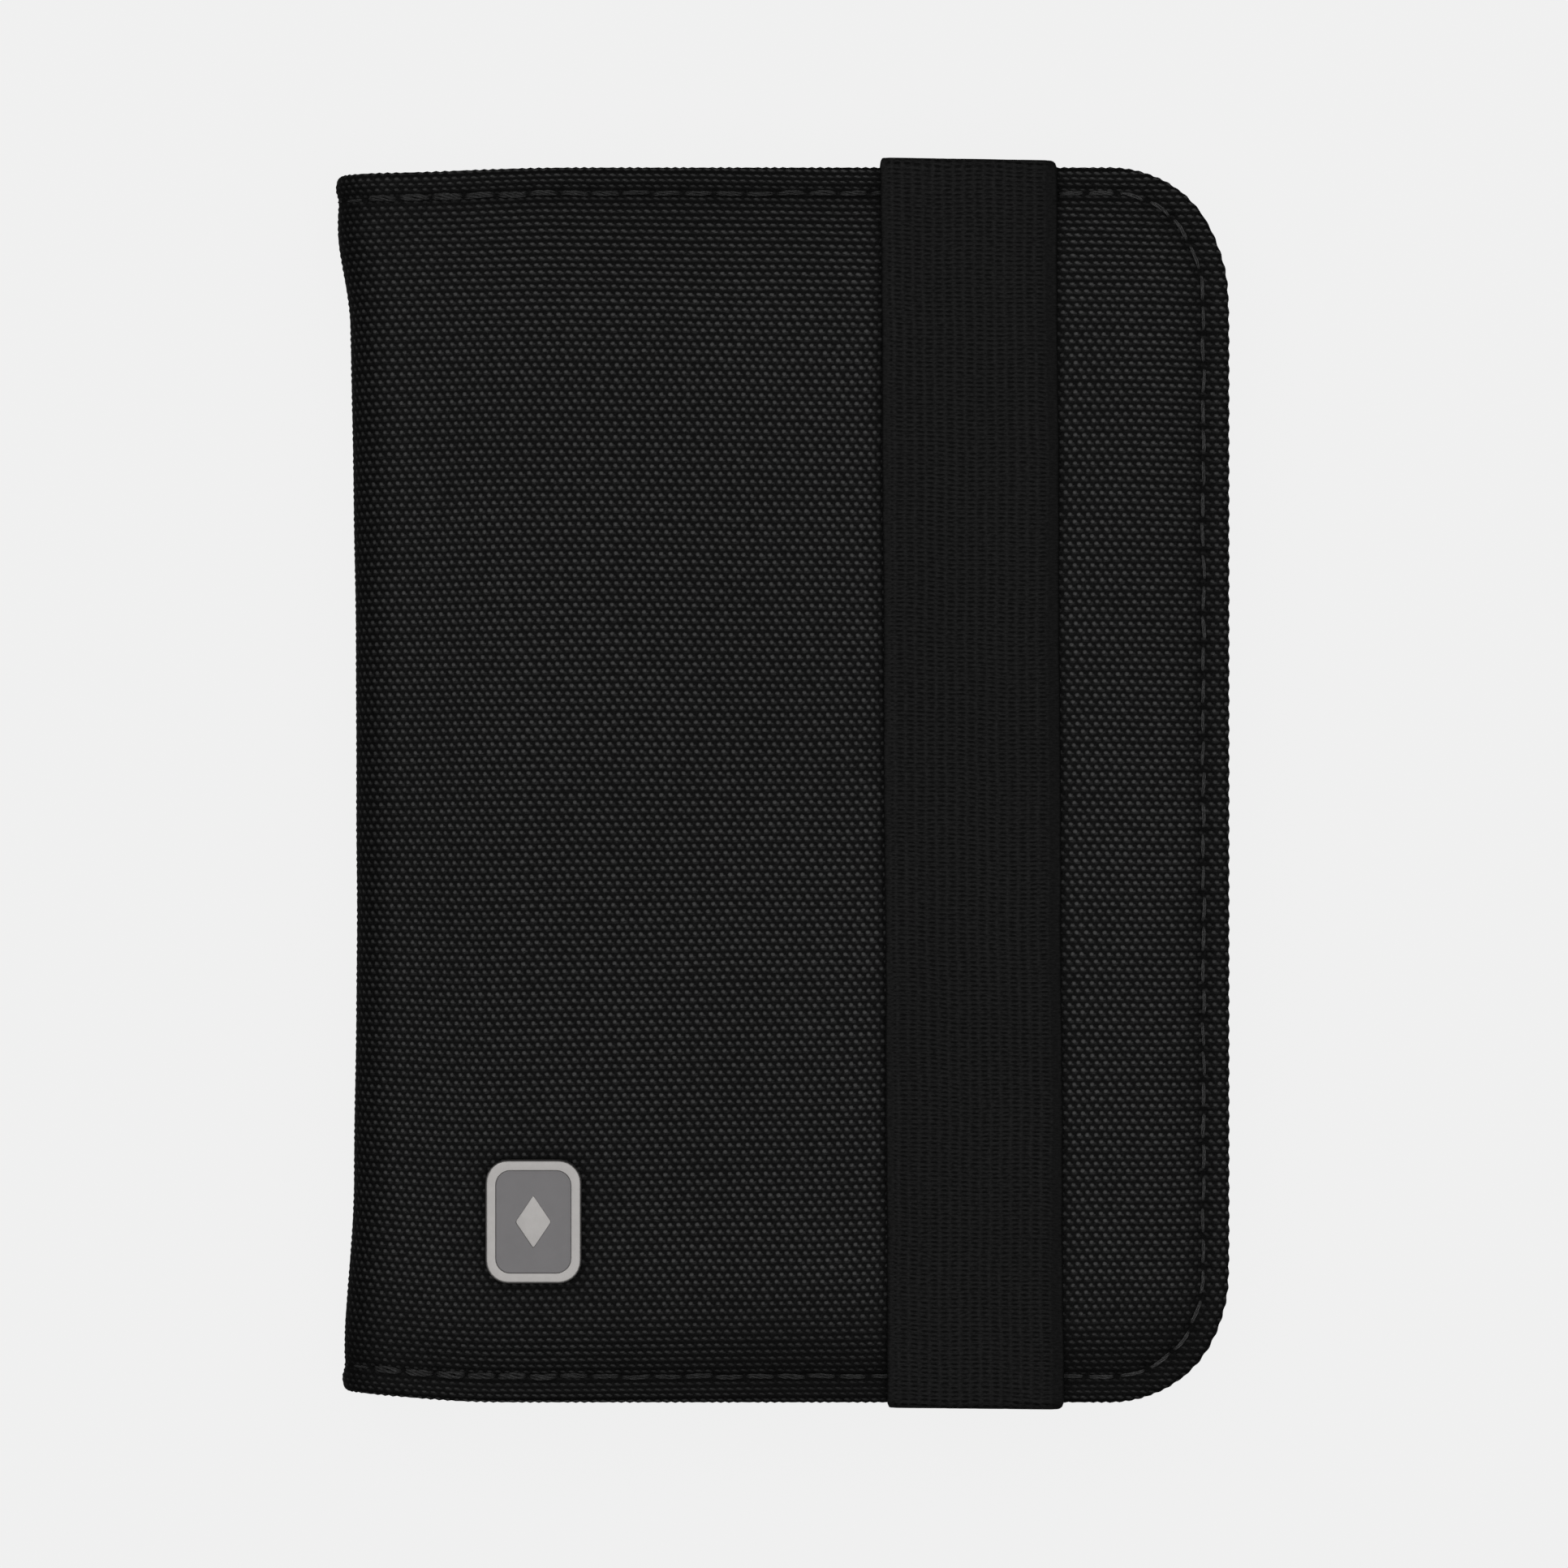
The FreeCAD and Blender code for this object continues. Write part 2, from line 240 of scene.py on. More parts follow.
class Value:
    """One number of a material. Arithmetic on it adds nodes to the material."""

    def __init__(self, recipe, socket):
        self.recipe, self.socket = recipe, socket

    __add__, __radd__ = math_step("ADD"), math_step("ADD", True)
    __sub__, __rsub__ = math_step("SUBTRACT"), math_step("SUBTRACT", True)
    __mul__, __rmul__ = math_step("MULTIPLY"), math_step("MULTIPLY", True)
    __truediv__, __abs__ = math_step("DIVIDE"), math_step("ABSOLUTE")
    floor, fract, round = math_step("FLOOR"), math_step("FRACT"), math_step("ROUND")
    sine, root = math_step("SINE"), math_step("SQRT")
    most, least = math_step("MAXIMUM"), math_step("MINIMUM")

    def ease(self, low, high, to_low=0.0, to_high=1.0):
        return self.recipe.signal("ShaderNodeMapRange", enumerate((self, low, high, to_low, to_high)),
                                  interpolation_type="SMOOTHSTEP")

    def capped(self):
        self.socket.node.use_clamp = True
        return self


class Recipe:
    """A material's nodes, with a short call for each kind that is used."""

    def __init__(self, name, **shader):
        self.material = bpy.data.materials.new(name)
        self.material.use_nodes = True
        self.tree = self.material.node_tree
        self.shader = self.tree.nodes["Principled BSDF"]
        for socket, value in shader.items():
            self.shader.inputs[socket.replace("_", " ")].default_value = value

    def node(self, kind, inputs=(), **settings):
        """A node with its inputs fed. Its outputs are taken by name or number."""
        made = self.tree.nodes.new(kind)
        for key, value in settings.items():
            setattr(made, key, value)
        for key, value in dict(inputs).items():
            self.feed(made.inputs[key], value)
        return made

    def feed(self, socket, value):
        if isinstance(value, Value):
            value = value.socket
        if isinstance(value, bpy.types.NodeSocket):
            self.tree.links.new(value, socket)
        else:
            socket.default_value = value

    def signal(self, kind, inputs, output=0, **settings):
        return Value(self, self.node(kind, inputs, **settings).outputs[output])

    def math(self, operation, *values):
        return self.signal("ShaderNodeMath", enumerate(values), operation=operation)

    def vector(self, operation, *values):
        return self.node("ShaderNodeVectorMath", enumerate(values), operation=operation).outputs[0]

    def cloth_mm(self):
        """The mesh's flat cloth coordinates in millimetres."""
        made = self.node("ShaderNodeUVMap", uv_map="cloth")
        return self.vector("MULTIPLY", made.outputs[0], (1000, 1000, 1000))

    def object_mm(self):
        made = self.node("ShaderNodeTexCoord")
        return self.vector("MULTIPLY", made.outputs["Object"], (1000, 1000, 1000))

    def trait(self, name):
        return self.signal("ShaderNodeAttribute", {}, "Fac", attribute_name=name)

    def split(self, vector):
        made = self.node("ShaderNodeSeparateXYZ", {0: vector})
        return [Value(self, made.outputs[k]) for k in range(3)]

    def noise(self, vector, scale, detail=2.0, roughness=0.55, stretch=None):
        """Even noise, or noise whose grains are drawn out by stretched coordinates."""
        if stretch:
            vector = self.vector("MULTIPLY", vector, stretch)
        return self.signal("ShaderNodeTexNoise", {"Vector": vector, "Scale": scale, "Detail": detail,
                                                  "Roughness": roughness})

    def random(self, x, y, z=0.0):
        """Three values for each cell, and one more."""
        cell = self.node("ShaderNodeCombineXYZ", {0: x, 1: y, 2: z}).outputs[0]
        made = self.node("ShaderNodeTexWhiteNoise", {"Vector": cell}, noise_dimensions="3D")
        return (*self.split(made.outputs["Color"]), Value(self, made.outputs[0]))

    def blend(self, factor, a, b):
        return self.node("ShaderNodeMix", {"Factor": factor, 6: a, 7: b}, data_type="RGBA").outputs[2]

    def wander(self, vector, scale, amount):
        """The coordinates, pushed about by a slow noise."""
        slow = self.node("ShaderNodeTexNoise", {"Vector": vector, "Scale": scale, "Detail": 2.0,
                                                "Roughness": 0.55}).outputs["Color"]
        offset = self.vector("MULTIPLY", self.vector("SUBTRACT", slow, (0.5, 0.5, 0.5)), (amount,) * 3)
        return self.vector("ADD", vector, offset)

    def frayed(self, vector, scale, amount):
        """Small pushes along x and y that fray an outline."""
        return self.split(self.vector("SUBTRACT", self.wander(vector, scale, amount), vector))[:2]

    def oval(self, place_xy, centre, radii, soft_in, soft_out):
        """1 inside an ellipse, falling softly to 0 outside it."""
        a, b = ((value - middle) / radius for value, middle, radius in zip(place_xy, centre, radii))
        return (a * a + b * b).root().ease(soft_in, soft_out, 1.0, 0.0)

    def finish(self, level, dark, pale, height_mm, roughness):
        """Colour from dark to pale by level, relief and roughness, all linked to the shader."""
        self.feed(self.shader.inputs["Base Color"], self.blend(level, dark, pale))
        self.feed(self.shader.inputs["Roughness"], roughness)
        relief = self.node("ShaderNodeBump", {"Height": height_mm * MM, "Distance": 1.0, "Strength": 1.0})
        self.feed(self.shader.inputs["Normal"], relief.outputs[0])
        return self.material


def grey(value, tint=(1.0, 1.0, 1.0)):
    return (value * tint[0], value * tint[1], value * tint[2], 1.0)


def ballistic_cloth():
    """Coarse plain weave of thick filament yarn: a bright nub wherever the weft crosses over. The nub's
    brightness is partly the yarn's own colour and partly a painted highlight on its crown.

    strain is 1 where the cloth is pulled flat towards a seam. The second trait is a painted shade factor: it
    dims the nubs where shade falls, and is 1 where no shade is painted.
    """
    r = Recipe("ballistic_cloth", Roughness=0.5, Specular_IOR_Level=0.04)
    flat = r.cloth_mm()
    strain, painted_shade_factor = r.trait("strain"), r.trait("painted_shade_factor")
    x, y, _ = r.split(r.wander(r.wander(flat, 0.03, 0.6), 0.7, 0.05))
    line = y / WEFT
    row = line.floor()
    across = x / (2 * WARP) + (row * 0.5).fract()
    own_x, own_y, own_size, _ = r.random(across.floor(), row, 3.0)
    fray_x, fray_y = r.frayed(flat, 2.6, 0.16)
    spot = ((across.fract() - 0.5) * (2 * WARP) + (own_x - 0.5) * 0.09 + fray_x,
            (line.fract() - 0.5) * WEFT + (own_y - 0.5) * 0.05 + fray_y)
    nub = r.oval(spot, (-0.05, 0.04), (0.27 + strain * 0.06, 0.25 - strain * 0.09), 0.35, 1.25)
    tail = r.oval(spot, (0.13, -0.08), (0.36, 0.14), 0.2, 1.3) * (0.45 + strain * 0.35)
    patch = r.noise(flat, 1.0, 2.0, 0.7, stretch=(1.3, 2.2, 1.0)).ease(0.36, 0.64, 0.25, 1.2)
    haze = patch * (0.04 - strain * 0.04)
    shelf = r.oval(spot, (0.12, strain * 0.08 - 0.21), (0.56 + strain * 0.6, 0.22), 0.2, 1.2)
    shelf = (shelf * (patch * (0.26 - strain * 0.08))).most(haze)
    warp_left, warp_right = (r.oval(spot, (side, 0.12), (0.16, 0.3), 0.4, 1.25) for side in (-WARP, WARP))
    warp = warp_left.most(warp_right)
    fibre = r.noise(flat, 1.0, 3.0, 0.7, stretch=(4.0, 8.0, 1.0))
    slow = r.noise(flat, 0.035, 3.0)
    yarn_row = r.random(0.0, row, 9.0)[3]
    level = (0.84 + own_size * 0.3) * (0.97 + yarn_row * 0.06)
    level = level * fibre.ease(0.3, 0.7, 0.68, 1.32) * (0.75 + slow * 0.5)
    # The nubs' light is partly their own colour and partly a painted highlight on the crowns, dimmed by the
    # painted shade of the second cloth trait.
    light = nub.most(tail).most(shelf) * painted_shade_factor
    light = (light.most(warp * (patch * 0.06)) * level).capped()
    height = nub * 0.07 + tail * 0.04 + warp * 0.015 + fibre * 0.02
    return r.finish(light, grey(0.0011), grey(CLOTH_PALE), height, fibre.ease(0.2, 0.8, 0.7, 0.5))


def elastic_cloth():
    """Ribbed elastic webbing: fine cross ribs, with a dark dash at each rib over every rubber thread."""
    r = Recipe("elastic_cloth", Roughness=0.55, Specular_IOR_Level=0.04)
    half = BAND_W / 2
    flat = r.cloth_mm()
    x, y, _ = r.split(r.wander(flat, 0.5, 0.1))
    rib, column = y / RIB_PITCH, x / COLUMN_PITCH
    own_x, own_y, own_size, _ = r.random(column.round(), rib.round())
    fray_x, fray_y = r.frayed(flat, 3.5, 0.22)
    dx = (column - column.round()) * COLUMN_PITCH + (own_x - 0.5) * 0.12 + fray_x
    dy = (rib - rib.round()) * RIB_PITCH + (own_y - 0.5) * 0.08 + fray_y * 0.6
    inside = x.ease(half - 1.35, half - 0.95, 1.0, 0.0) * x.ease(0.7 - half, 1.1 - half)
    dash = r.oval((dx, dy), (0.0, 0.0), (0.46, 0.155), 0.4, 1.1) * (0.5 + own_size * 0.55) * inside
    groove = (abs(dy) / 0.13).ease(0.2, 1.2, 1.0, 0.0) * inside * abs(dx).ease(0.38, 0.55, 1.0, 0.5)
    # A painted highlight along the crest of each rib.
    crest_highlight = r.oval((dx, dy), (0.05, 0.17), (0.6, 0.075), 0.1, 1.2) * inside
    post = abs(dx).ease(0.4, 0.56) * own_x
    fibre = r.noise(flat, 1.0, 3.0, 0.75, stretch=(1.7, 5.0, 1.0))
    streak = r.noise(flat, 1.0, 3.0, 0.6, stretch=(1.6, 0.04, 1.0))
    lint = r.noise(flat, 1.0, 1.0, 0.5, stretch=(1.8, 3.2, 1.0))
    slow = r.noise(flat, 0.05, 3.0)
    # The rib crests add a painted highlight to the level, and the grooves take painted shade from it.
    level = 0.6 + crest_highlight * (0.12 + own_size * 0.3) + post * 0.22 - groove * 0.14 - dash * 0.6
    level = level * fibre.ease(0.32, 0.68, 0.36, 1.66) + lint.ease(0.68, 0.78, 0.0, 0.45)
    level = level * (0.75 + streak * 0.5) * (0.8 + slow * 0.4)
    # Painted shade along the band's edges where it curves down, darker on the right side.
    rim = x.ease(half - 2.1, half - 0.9, 1.0, 0.5) * x.ease(0.4 - half, 1.0 - half, 0.85, 1.0)
    height = (groove + dash) * -0.03 + fibre * 0.012
    return r.finish((level * rim).capped(), grey(0.0012), grey(BAND_PALE), height,
                    fibre.ease(0.2, 0.8, 0.68, 0.52))


def thread():
    """Spun sewing thread, its fibres running along the strand and catching the light unevenly."""
    r = Recipe("sewing_thread", Roughness=0.6, Specular_IOR_Level=0.06)
    flat = r.cloth_mm()
    grain = r.noise(flat, 1.0, 4.0, 0.7, stretch=(1.3, 7.0, 1.0))
    slow, speck = r.noise(flat, 0.3), r.noise(flat, 4.0, 2.0, 0.7)
    level = grain.ease(0.32, 0.75, 0.2, 1.0) * (0.5 + slow) * speck.ease(0.3, 0.7, 0.35, 1.15)
    level = level * (0.6 + r.trait("rubbed") * 0.5)
    return r.finish(level, grey(0.003), grey(0.083), grain * 0.06, grain.ease(0.2, 0.8, 0.75, 0.55))


def fine_cloth(name, dark, pale, pitch, ripstop=0.0):
    """Fine plain weave for linings and pockets, with heavier threads every ripstop millimetres."""
    r = Recipe(name, Roughness=0.6, Specular_IOR_Level=0.1, Sheen_Weight=0.04, Sheen_Roughness=0.4)
    flat = r.cloth_mm()
    x, y, _ = r.split(r.wander(flat, 0.12, 0.35))
    weave = ((x * (math.pi / pitch)).sine() * (y * (math.pi / pitch)).sine()).ease(-0.8, 0.9)
    fibre, slow = r.noise(flat, 5.0, 3.0, 0.6), r.noise(flat, 0.05, 4.0)
    level = (0.55 + weave * 0.45) * (0.7 + fibre * 0.5) * (0.75 + slow * 0.5)
    height = weave * 0.03 + slow * 0.25
    if ripstop:
        near_x, near_y = (abs((value / ripstop).fract() - 0.5) for value in (x, y))
        heavy = near_x.most(near_y).ease(0.44, 0.48)
        level = level + heavy * 0.22
        height = height + heavy * 0.03
    return r.finish(level.least(1.0), dark, pale, height, fibre.ease(0.2, 0.8, 0.7, 0.52))


def ribbed_tape():
    """Grosgrain binding: close ribs across the tape."""
    r = Recipe("ribbed_tape", Roughness=0.55, Specular_IOR_Level=0.12, Sheen_Weight=0.05, Sheen_Roughness=0.4)
    flat = r.cloth_mm()
    rib = abs((r.split(flat)[1] * (math.pi / 0.42)).sine())
    fibre = r.noise(flat, 4.0, 3.0, 0.6)
    level = (rib * (0.6 + fibre * 0.7)).least(1.0)
    return r.finish(level, grey(0.003), grey(0.026), rib * 0.06, fibre.ease(0.2, 0.8, 0.66, 0.48))


def satin_metal():
    """Satin-plated cast metal with a faint brushed grain and soft rubbed marks."""
    r = Recipe("satin_metal", Metallic=1.0, Roughness=0.38)
    warm = (1.0, 0.965, 0.94)
    flat = r.object_mm()
    grain = r.noise(flat, 2.0, 3.0, 0.6, stretch=(9.0, 1.2, 4.0))
    marks = r.noise(flat, 0.9, 4.0, 0.6)
    rough = grain.ease(0.2, 0.8, 0.34, 0.44) + marks.ease(0.3, 0.8, -0.02, 0.03)
    return r.finish(marks.ease(0.3, 0.7), grey(0.27, warm), grey(0.295, warm), grain * 0.004, rough)


def grey_enamel():
    """Warm grey enamel, slightly uneven where it was flooded into its recess."""
    r = Recipe("grey_enamel", Roughness=0.42, Specular_IOR_Level=0.45, Coat_Weight=0.25, Coat_Roughness=0.2)
    warm = (1.02, 0.97, 1.0)
    flat = r.object_mm()
    cloud, speck = r.noise(flat, 0.5, 4.0), r.noise(flat, 9.0)
    return r.finish(cloud.ease(0.3, 0.7), grey(0.098, warm), grey(0.112, warm), speck * 0.003,
                    cloud.ease(0.3, 0.7, 0.38, 0.5))


def hidden_layer(name, dark, pale, grain, metallic=0.0):
    """A layer inside a cover: board, foam or shielding film, with its own grain."""
    r = Recipe(name, Roughness=0.7, Metallic=metallic)
    speck = r.noise(r.object_mm(), grain, 4.0, 0.6)
    rough = speck.ease(0.2, 0.8, 0.8, 0.55)
    return r.finish(speck.ease(0.3, 0.7), grey(dark), grey(pale), speck * 0.03, rough)


# ---- the flat layout

class Wrap:
    """A level face that rolls round to the middle of the spine at its left end."""

    def __init__(self, end_x, face_z):
        turn = np.linspace(0, QUARTER, 600)
        self.face_z = face_z
        self.x = ROLL_X - (ROLL_X - end_x) * np.sin(turn) ** (2 / ROLL_POWER)
        self.z = MIDDLE_Z + (face_z - MIDDLE_Z) * np.cos(turn) ** (2 / ROLL_POWER)
        self.slope = np.unwrap(np.arctan2(np.gradient(self.z), np.gradient(self.x)))
        self.run = run_of(np.column_stack([self.x, self.z]))
        self.left = ROLL_X - self.run[-1]

    def place(self, s, y, h):
        """Points in space for flat places s, y and heights h over the face."""
        past = np.clip(ROLL_X - s, 0, self.run[-1])
        slope = np.interp(past, self.run, self.slope)
        rolled_x = np.interp(past, self.run, self.x) + np.sin(slope) * h
        rolled_z = np.interp(past, self.run, self.z) - np.cos(slope) * h
        x = np.where(past > 0, rolled_x, s)
        z = np.where(past > 0, rolled_z, self.face_z + h)
        # The cover's ends stand out a little, and draw in towards the spine.
        top_out = 0.12 - 0.75 * smooth(-22.0, LEFT + 1.0, x) ** 1.3
        bottom_out = 0.33 - 1.1 * smooth(-28.0, LEFT + 0.5, x) ** 2
        stretch = 1 + np.where(y > 0, top_out, bottom_out) / TOP
        return np.stack([x + spine_pull(x, y) - corner_ease(x, y), y * stretch, z], -1)


def spine_pull(x, y):
    """How far the soft spine is drawn in between its thick sewn ends."""
    drawn = 1.6 - 0.75 * ((y + 8) / 58) ** 2
    drawn = drawn - 1.1 * smooth(53.0, 65.0, y) - 0.85 * smooth(46.0, 68.0, -y)
    return drawn * smooth(-30.0, LEFT + 1.0, x)


def corner_ease(x, y):
    """How far the free edge falls away before it turns its round corners."""
    return (0.45 * bump(y - 61.5, 5.0) + 0.25 * bump(y + 61.0, 4.5) - 0.12) * smooth(34.0, 48.0, x)


def past_corner(x, y):
    """How far a flat place lies past the start of the round corner, along x and along y."""
    return x - (RIGHT - CORNER_R), np.abs(y) - (TOP - CORNER_R)


def outline_distance(x, y):
    """How far a flat place lies inside the cover's outline."""
    dx, dy = past_corner(x, y)
    corner = CORNER_R - np.hypot(np.maximum(dx, 0), np.maximum(dy, 0))
    return np.where((dx > 0) & (dy > 0), corner, np.minimum(RIGHT - x, TOP - np.abs(y)))


def outline_direction(x, y):
    """The way out of the outline at a place on or near it, along x and along y."""
    dx, dy = past_corner(x, y)
    far = np.maximum(np.hypot(np.maximum(dx, 0), np.maximum(dy, 0)), 1e-9)
    to_right = RIGHT - x < TOP - np.abs(y)
    corner = (dx > 0) & (dy > 0)
    out_x = np.where(corner, np.maximum(dx, 0) / far, to_right * 1.0)
    out_y = np.where(corner, np.maximum(dy, 0) / far, 1.0 - to_right) * np.sign(y)
    return out_x, out_y


def rounded(x, y, inset):
    """Moves the places of a square-cornered grid into the outline's round corners."""
    radius = CORNER_R - inset
    right, top = RIGHT - inset - radius, TOP - inset - radius
    u = np.clip((x - right) / radius, 0, 1)
    v = np.clip((np.abs(y) - top) / radius, 0, 1)
    both = (u > 0) & (v > 0)
    new_x = np.where(both, right + radius * u * np.sqrt(1 - v * v / 2), x)
    new_y = np.where(both, np.sign(y) * (top + radius * v * np.sqrt(1 - u * u / 2)), y)
    return new_x, new_y


def outline_grid(left, top, inset, across, along):
    """Flat places s and y of a grid within the outline, how far inside they are, faces and border.

    The border runs along the bottom, the free edge and the top, in order.
    """
    xs, ys = graded(left, RIGHT - inset, *across), graded(inset - TOP, top, *along)
    s, y = (flat.ravel() for flat in rounded(*np.meshgrid(xs, ys, indexing="ij"), inset))
    k = np.arange(len(s)).reshape(len(xs), len(ys))
    border = np.concatenate([k[:, 0], k[-1, 1:], k[-2::-1, -1]])
    return s, y, outline_distance(s, y) - inset, grid_faces(len(xs), len(ys)), border


def graded(low, high, step, fine, low_margin, high_margin):
    """Places from low to high, close together in the margins at its ends."""
    a, b = low + low_margin, high - high_margin
    parts = [np.linspace(low, a, max(2, round(low_margin / fine)), endpoint=False)] if low_margin else []
    parts.append(np.linspace(a, b, max(2, round((b - a) / step)), endpoint=False))
    parts.append(np.linspace(b, high, max(2, round(high_margin / fine)) + 1))
    return np.concatenate(parts)


class Seam:
    """The stitch line: along the bottom, round the free edge's corners and back along the top."""

    def __init__(self, left):
        self.left = left
        self.r = CORNER_R - SEAM_INSET
        self.right, self.top = RIGHT - CORNER_R, TOP - CORNER_R
        level, turn = self.right - left, self.r * QUARTER
        self.marks = np.cumsum([0, level, turn, 2 * self.top, turn, level])
        self.count = int(self.marks[-1] / STITCH_PITCH)
        self.pitch = self.marks[-1] / self.count

    def at(self, t):
        """Flat place and direction of travel at length t."""
        m = self.marks
        a1 = np.clip((t - m[1]) / self.r, 0, QUARTER)
        a2 = np.clip((t - m[3]) / self.r, 0, QUARTER)
        along, up, back = np.clip(t, 0, m[1]), np.clip(t - m[2], 0, m[3] - m[2]), np.clip(t - m[4], 0, None)
        x = self.left + along + self.r * np.sin(a1) - self.r * (1 - np.cos(a2)) - back
        y = SEAM_INSET - TOP + self.r * (1 - np.cos(a1)) + up + self.r * np.sin(a2)
        return x, y, a1 + a2

    def near(self, x, y):
        """For flat places: turn through a stitch, length to the nearest hole, and distance off the seam."""
        m = self.marks
        dx, dy = past_corner(x, y)
        angle = np.arctan2(np.maximum(dx, 0), np.maximum(dy, 1e-9))
        t_corner = np.where(y < 0, m[1] + self.r * angle, m[4] - self.r * angle)
        t_level = np.where(y < 0, x - self.left, m[5] - (x - self.left))
        t_side = m[2] + y + self.top
        straight = np.where(RIGHT - x < TOP - np.abs(y), t_side, t_level)
        phase = np.mod(np.where((dx > 0) & (dy > 0), t_corner, straight) / self.pitch, 1.0)
        return phase, np.minimum(phase, 1 - phase) * self.pitch, outline_distance(x, y) - SEAM_INSET


def weave_place(s, y):
    """Cloth coordinates of flat places: rows bow and close up a little towards the seams."""
    to_edge = TOP - np.abs(y)
    squeeze = (0.9 * np.exp(-to_edge / 8.0) + 1.0 * np.exp(-to_edge / 2.2)) * np.sign(y)
    bow = 0.3 * (s / RIGHT) ** 2 * np.cos(math.pi * y / TOP / 2) + 0.01 * s * np.sin(y * 0.03)
    return s + 0.5 * np.sin(y * 0.045), y + squeeze + bow


# ---- covers

def on_cover(s):
    """0 round the spine and 1 on the level face."""
    return smooth(ROLL_X - 1.0, ROLL_X + 6.0, s)


def border_drop(s):
    """How far the sewn border lies below the padded face."""
    return BORDER_DROP * (0.3 + 0.7 * on_cover(s))


def dents(s, y):
    """Gentle unevenness of soft cloth over foam."""
    return (0.05 * np.sin(s * 0.11 + 0.8 * np.sin(y * 0.05)) * np.sin(y * 0.083 + 1.3)
            + 0.035 * np.sin(s * 0.23 - y * 0.17 + 0.7)
            + 0.02 * np.sin(s * 0.41 + 2.1) * np.sin(y * 0.37 + 0.4))


def badge_gap(s, y):
    """Distance from the badge's edge, 0 under it."""
    out_x = np.maximum(np.abs(s - BADGE_X) - BADGE_W / 2 + BADGE_R, 0)
    out_y = np.maximum(np.abs(y - BADGE_Y) - BADGE_H / 2 + BADGE_R, 0)
    return np.maximum(np.hypot(out_x, out_y) - BADGE_R, 0)


def band_gap(s, y):
    """Distance from the edge of the slightly crooked band, negative under it."""
    return np.abs(s - (BAND_X - BAND_LEAN * y / TOP)) - BAND_W / 2


class Puff:
    """The swell of a padded cover between its seams, blown up once as a simulated cloth."""

    STEP = 2.5
    FRAMES = 16
    SIM_SCALE = 10
    HELD_MARGIN = 3.6

    def __init__(self, left):
        self.xs = np.arange(left, RIGHT + self.STEP, self.STEP)
        self.ys = np.arange(-TOP, TOP + 1e-6, self.STEP)
        s, y = np.meshgrid(self.xs, self.ys, indexing="ij")
        inside = outline_distance(s, y)
        self.rise = self.blown(s, y, inside)

    def blown(self, s, y, inside):
        """Heights of the cloth, from 0 at the seams to about 1 at its highest."""
        sheet = mesh_piece("puff", rows(s, y, 0.0) * self.SIM_SCALE, grid_faces(*s.shape),
                           bpy.data.materials.new("puff"))
        held = (inside < self.HELD_MARGIN) | (s < ROLL_X)
        pins = sheet.vertex_groups.new(name="held")
        pins.add(np.flatnonzero(held.ravel()).tolist(), 1.0, "REPLACE")
        settings = sheet.modifiers.new("cloth", "CLOTH").settings
        settings.vertex_group_mass = "held"
        settings.effector_weights.gravity = 0.0
        settings.use_pressure = True
        settings.uniform_pressure_force = 1.5
        settings.shrink_min = -0.012
        settings.quality = 6
        scene = bpy.context.scene
        for frame_number in range(1, self.FRAMES + 1):
            scene.frame_set(frame_number)
        done = sheet.evaluated_get(bpy.context.evaluated_depsgraph_get()).to_mesh()
        places = np.zeros(len(done.vertices) * 3)
        done.vertices.foreach_get("co", places)
        rise = places.reshape(-1, 3)[:, 2].reshape(s.shape)
        bpy.data.objects.remove(sheet)
        scene.frame_set(1)
        return rise / np.percentile(np.abs(rise), 99) * np.sign(rise.sum())

    def at(self, s, y):
        """The rise at flat places, read evenly between the cloth's points."""
        i = np.clip((s - self.xs[0]) / self.STEP, 0, len(self.xs) - 1.001)
        j = np.clip((y - self.ys[0]) / self.STEP, 0, len(self.ys) - 1.001)
        a, b = i.astype(int), j.astype(int)
        u, v = smooth(0, 1, i - a), smooth(0, 1, j - b)
        low = self.rise[a, b] * (1 - v) + self.rise[a, b + 1] * v
        high = self.rise[a + 1, b] * (1 - v) + self.rise[a + 1, b + 1] * v
        return low * (1 - u) + high * u


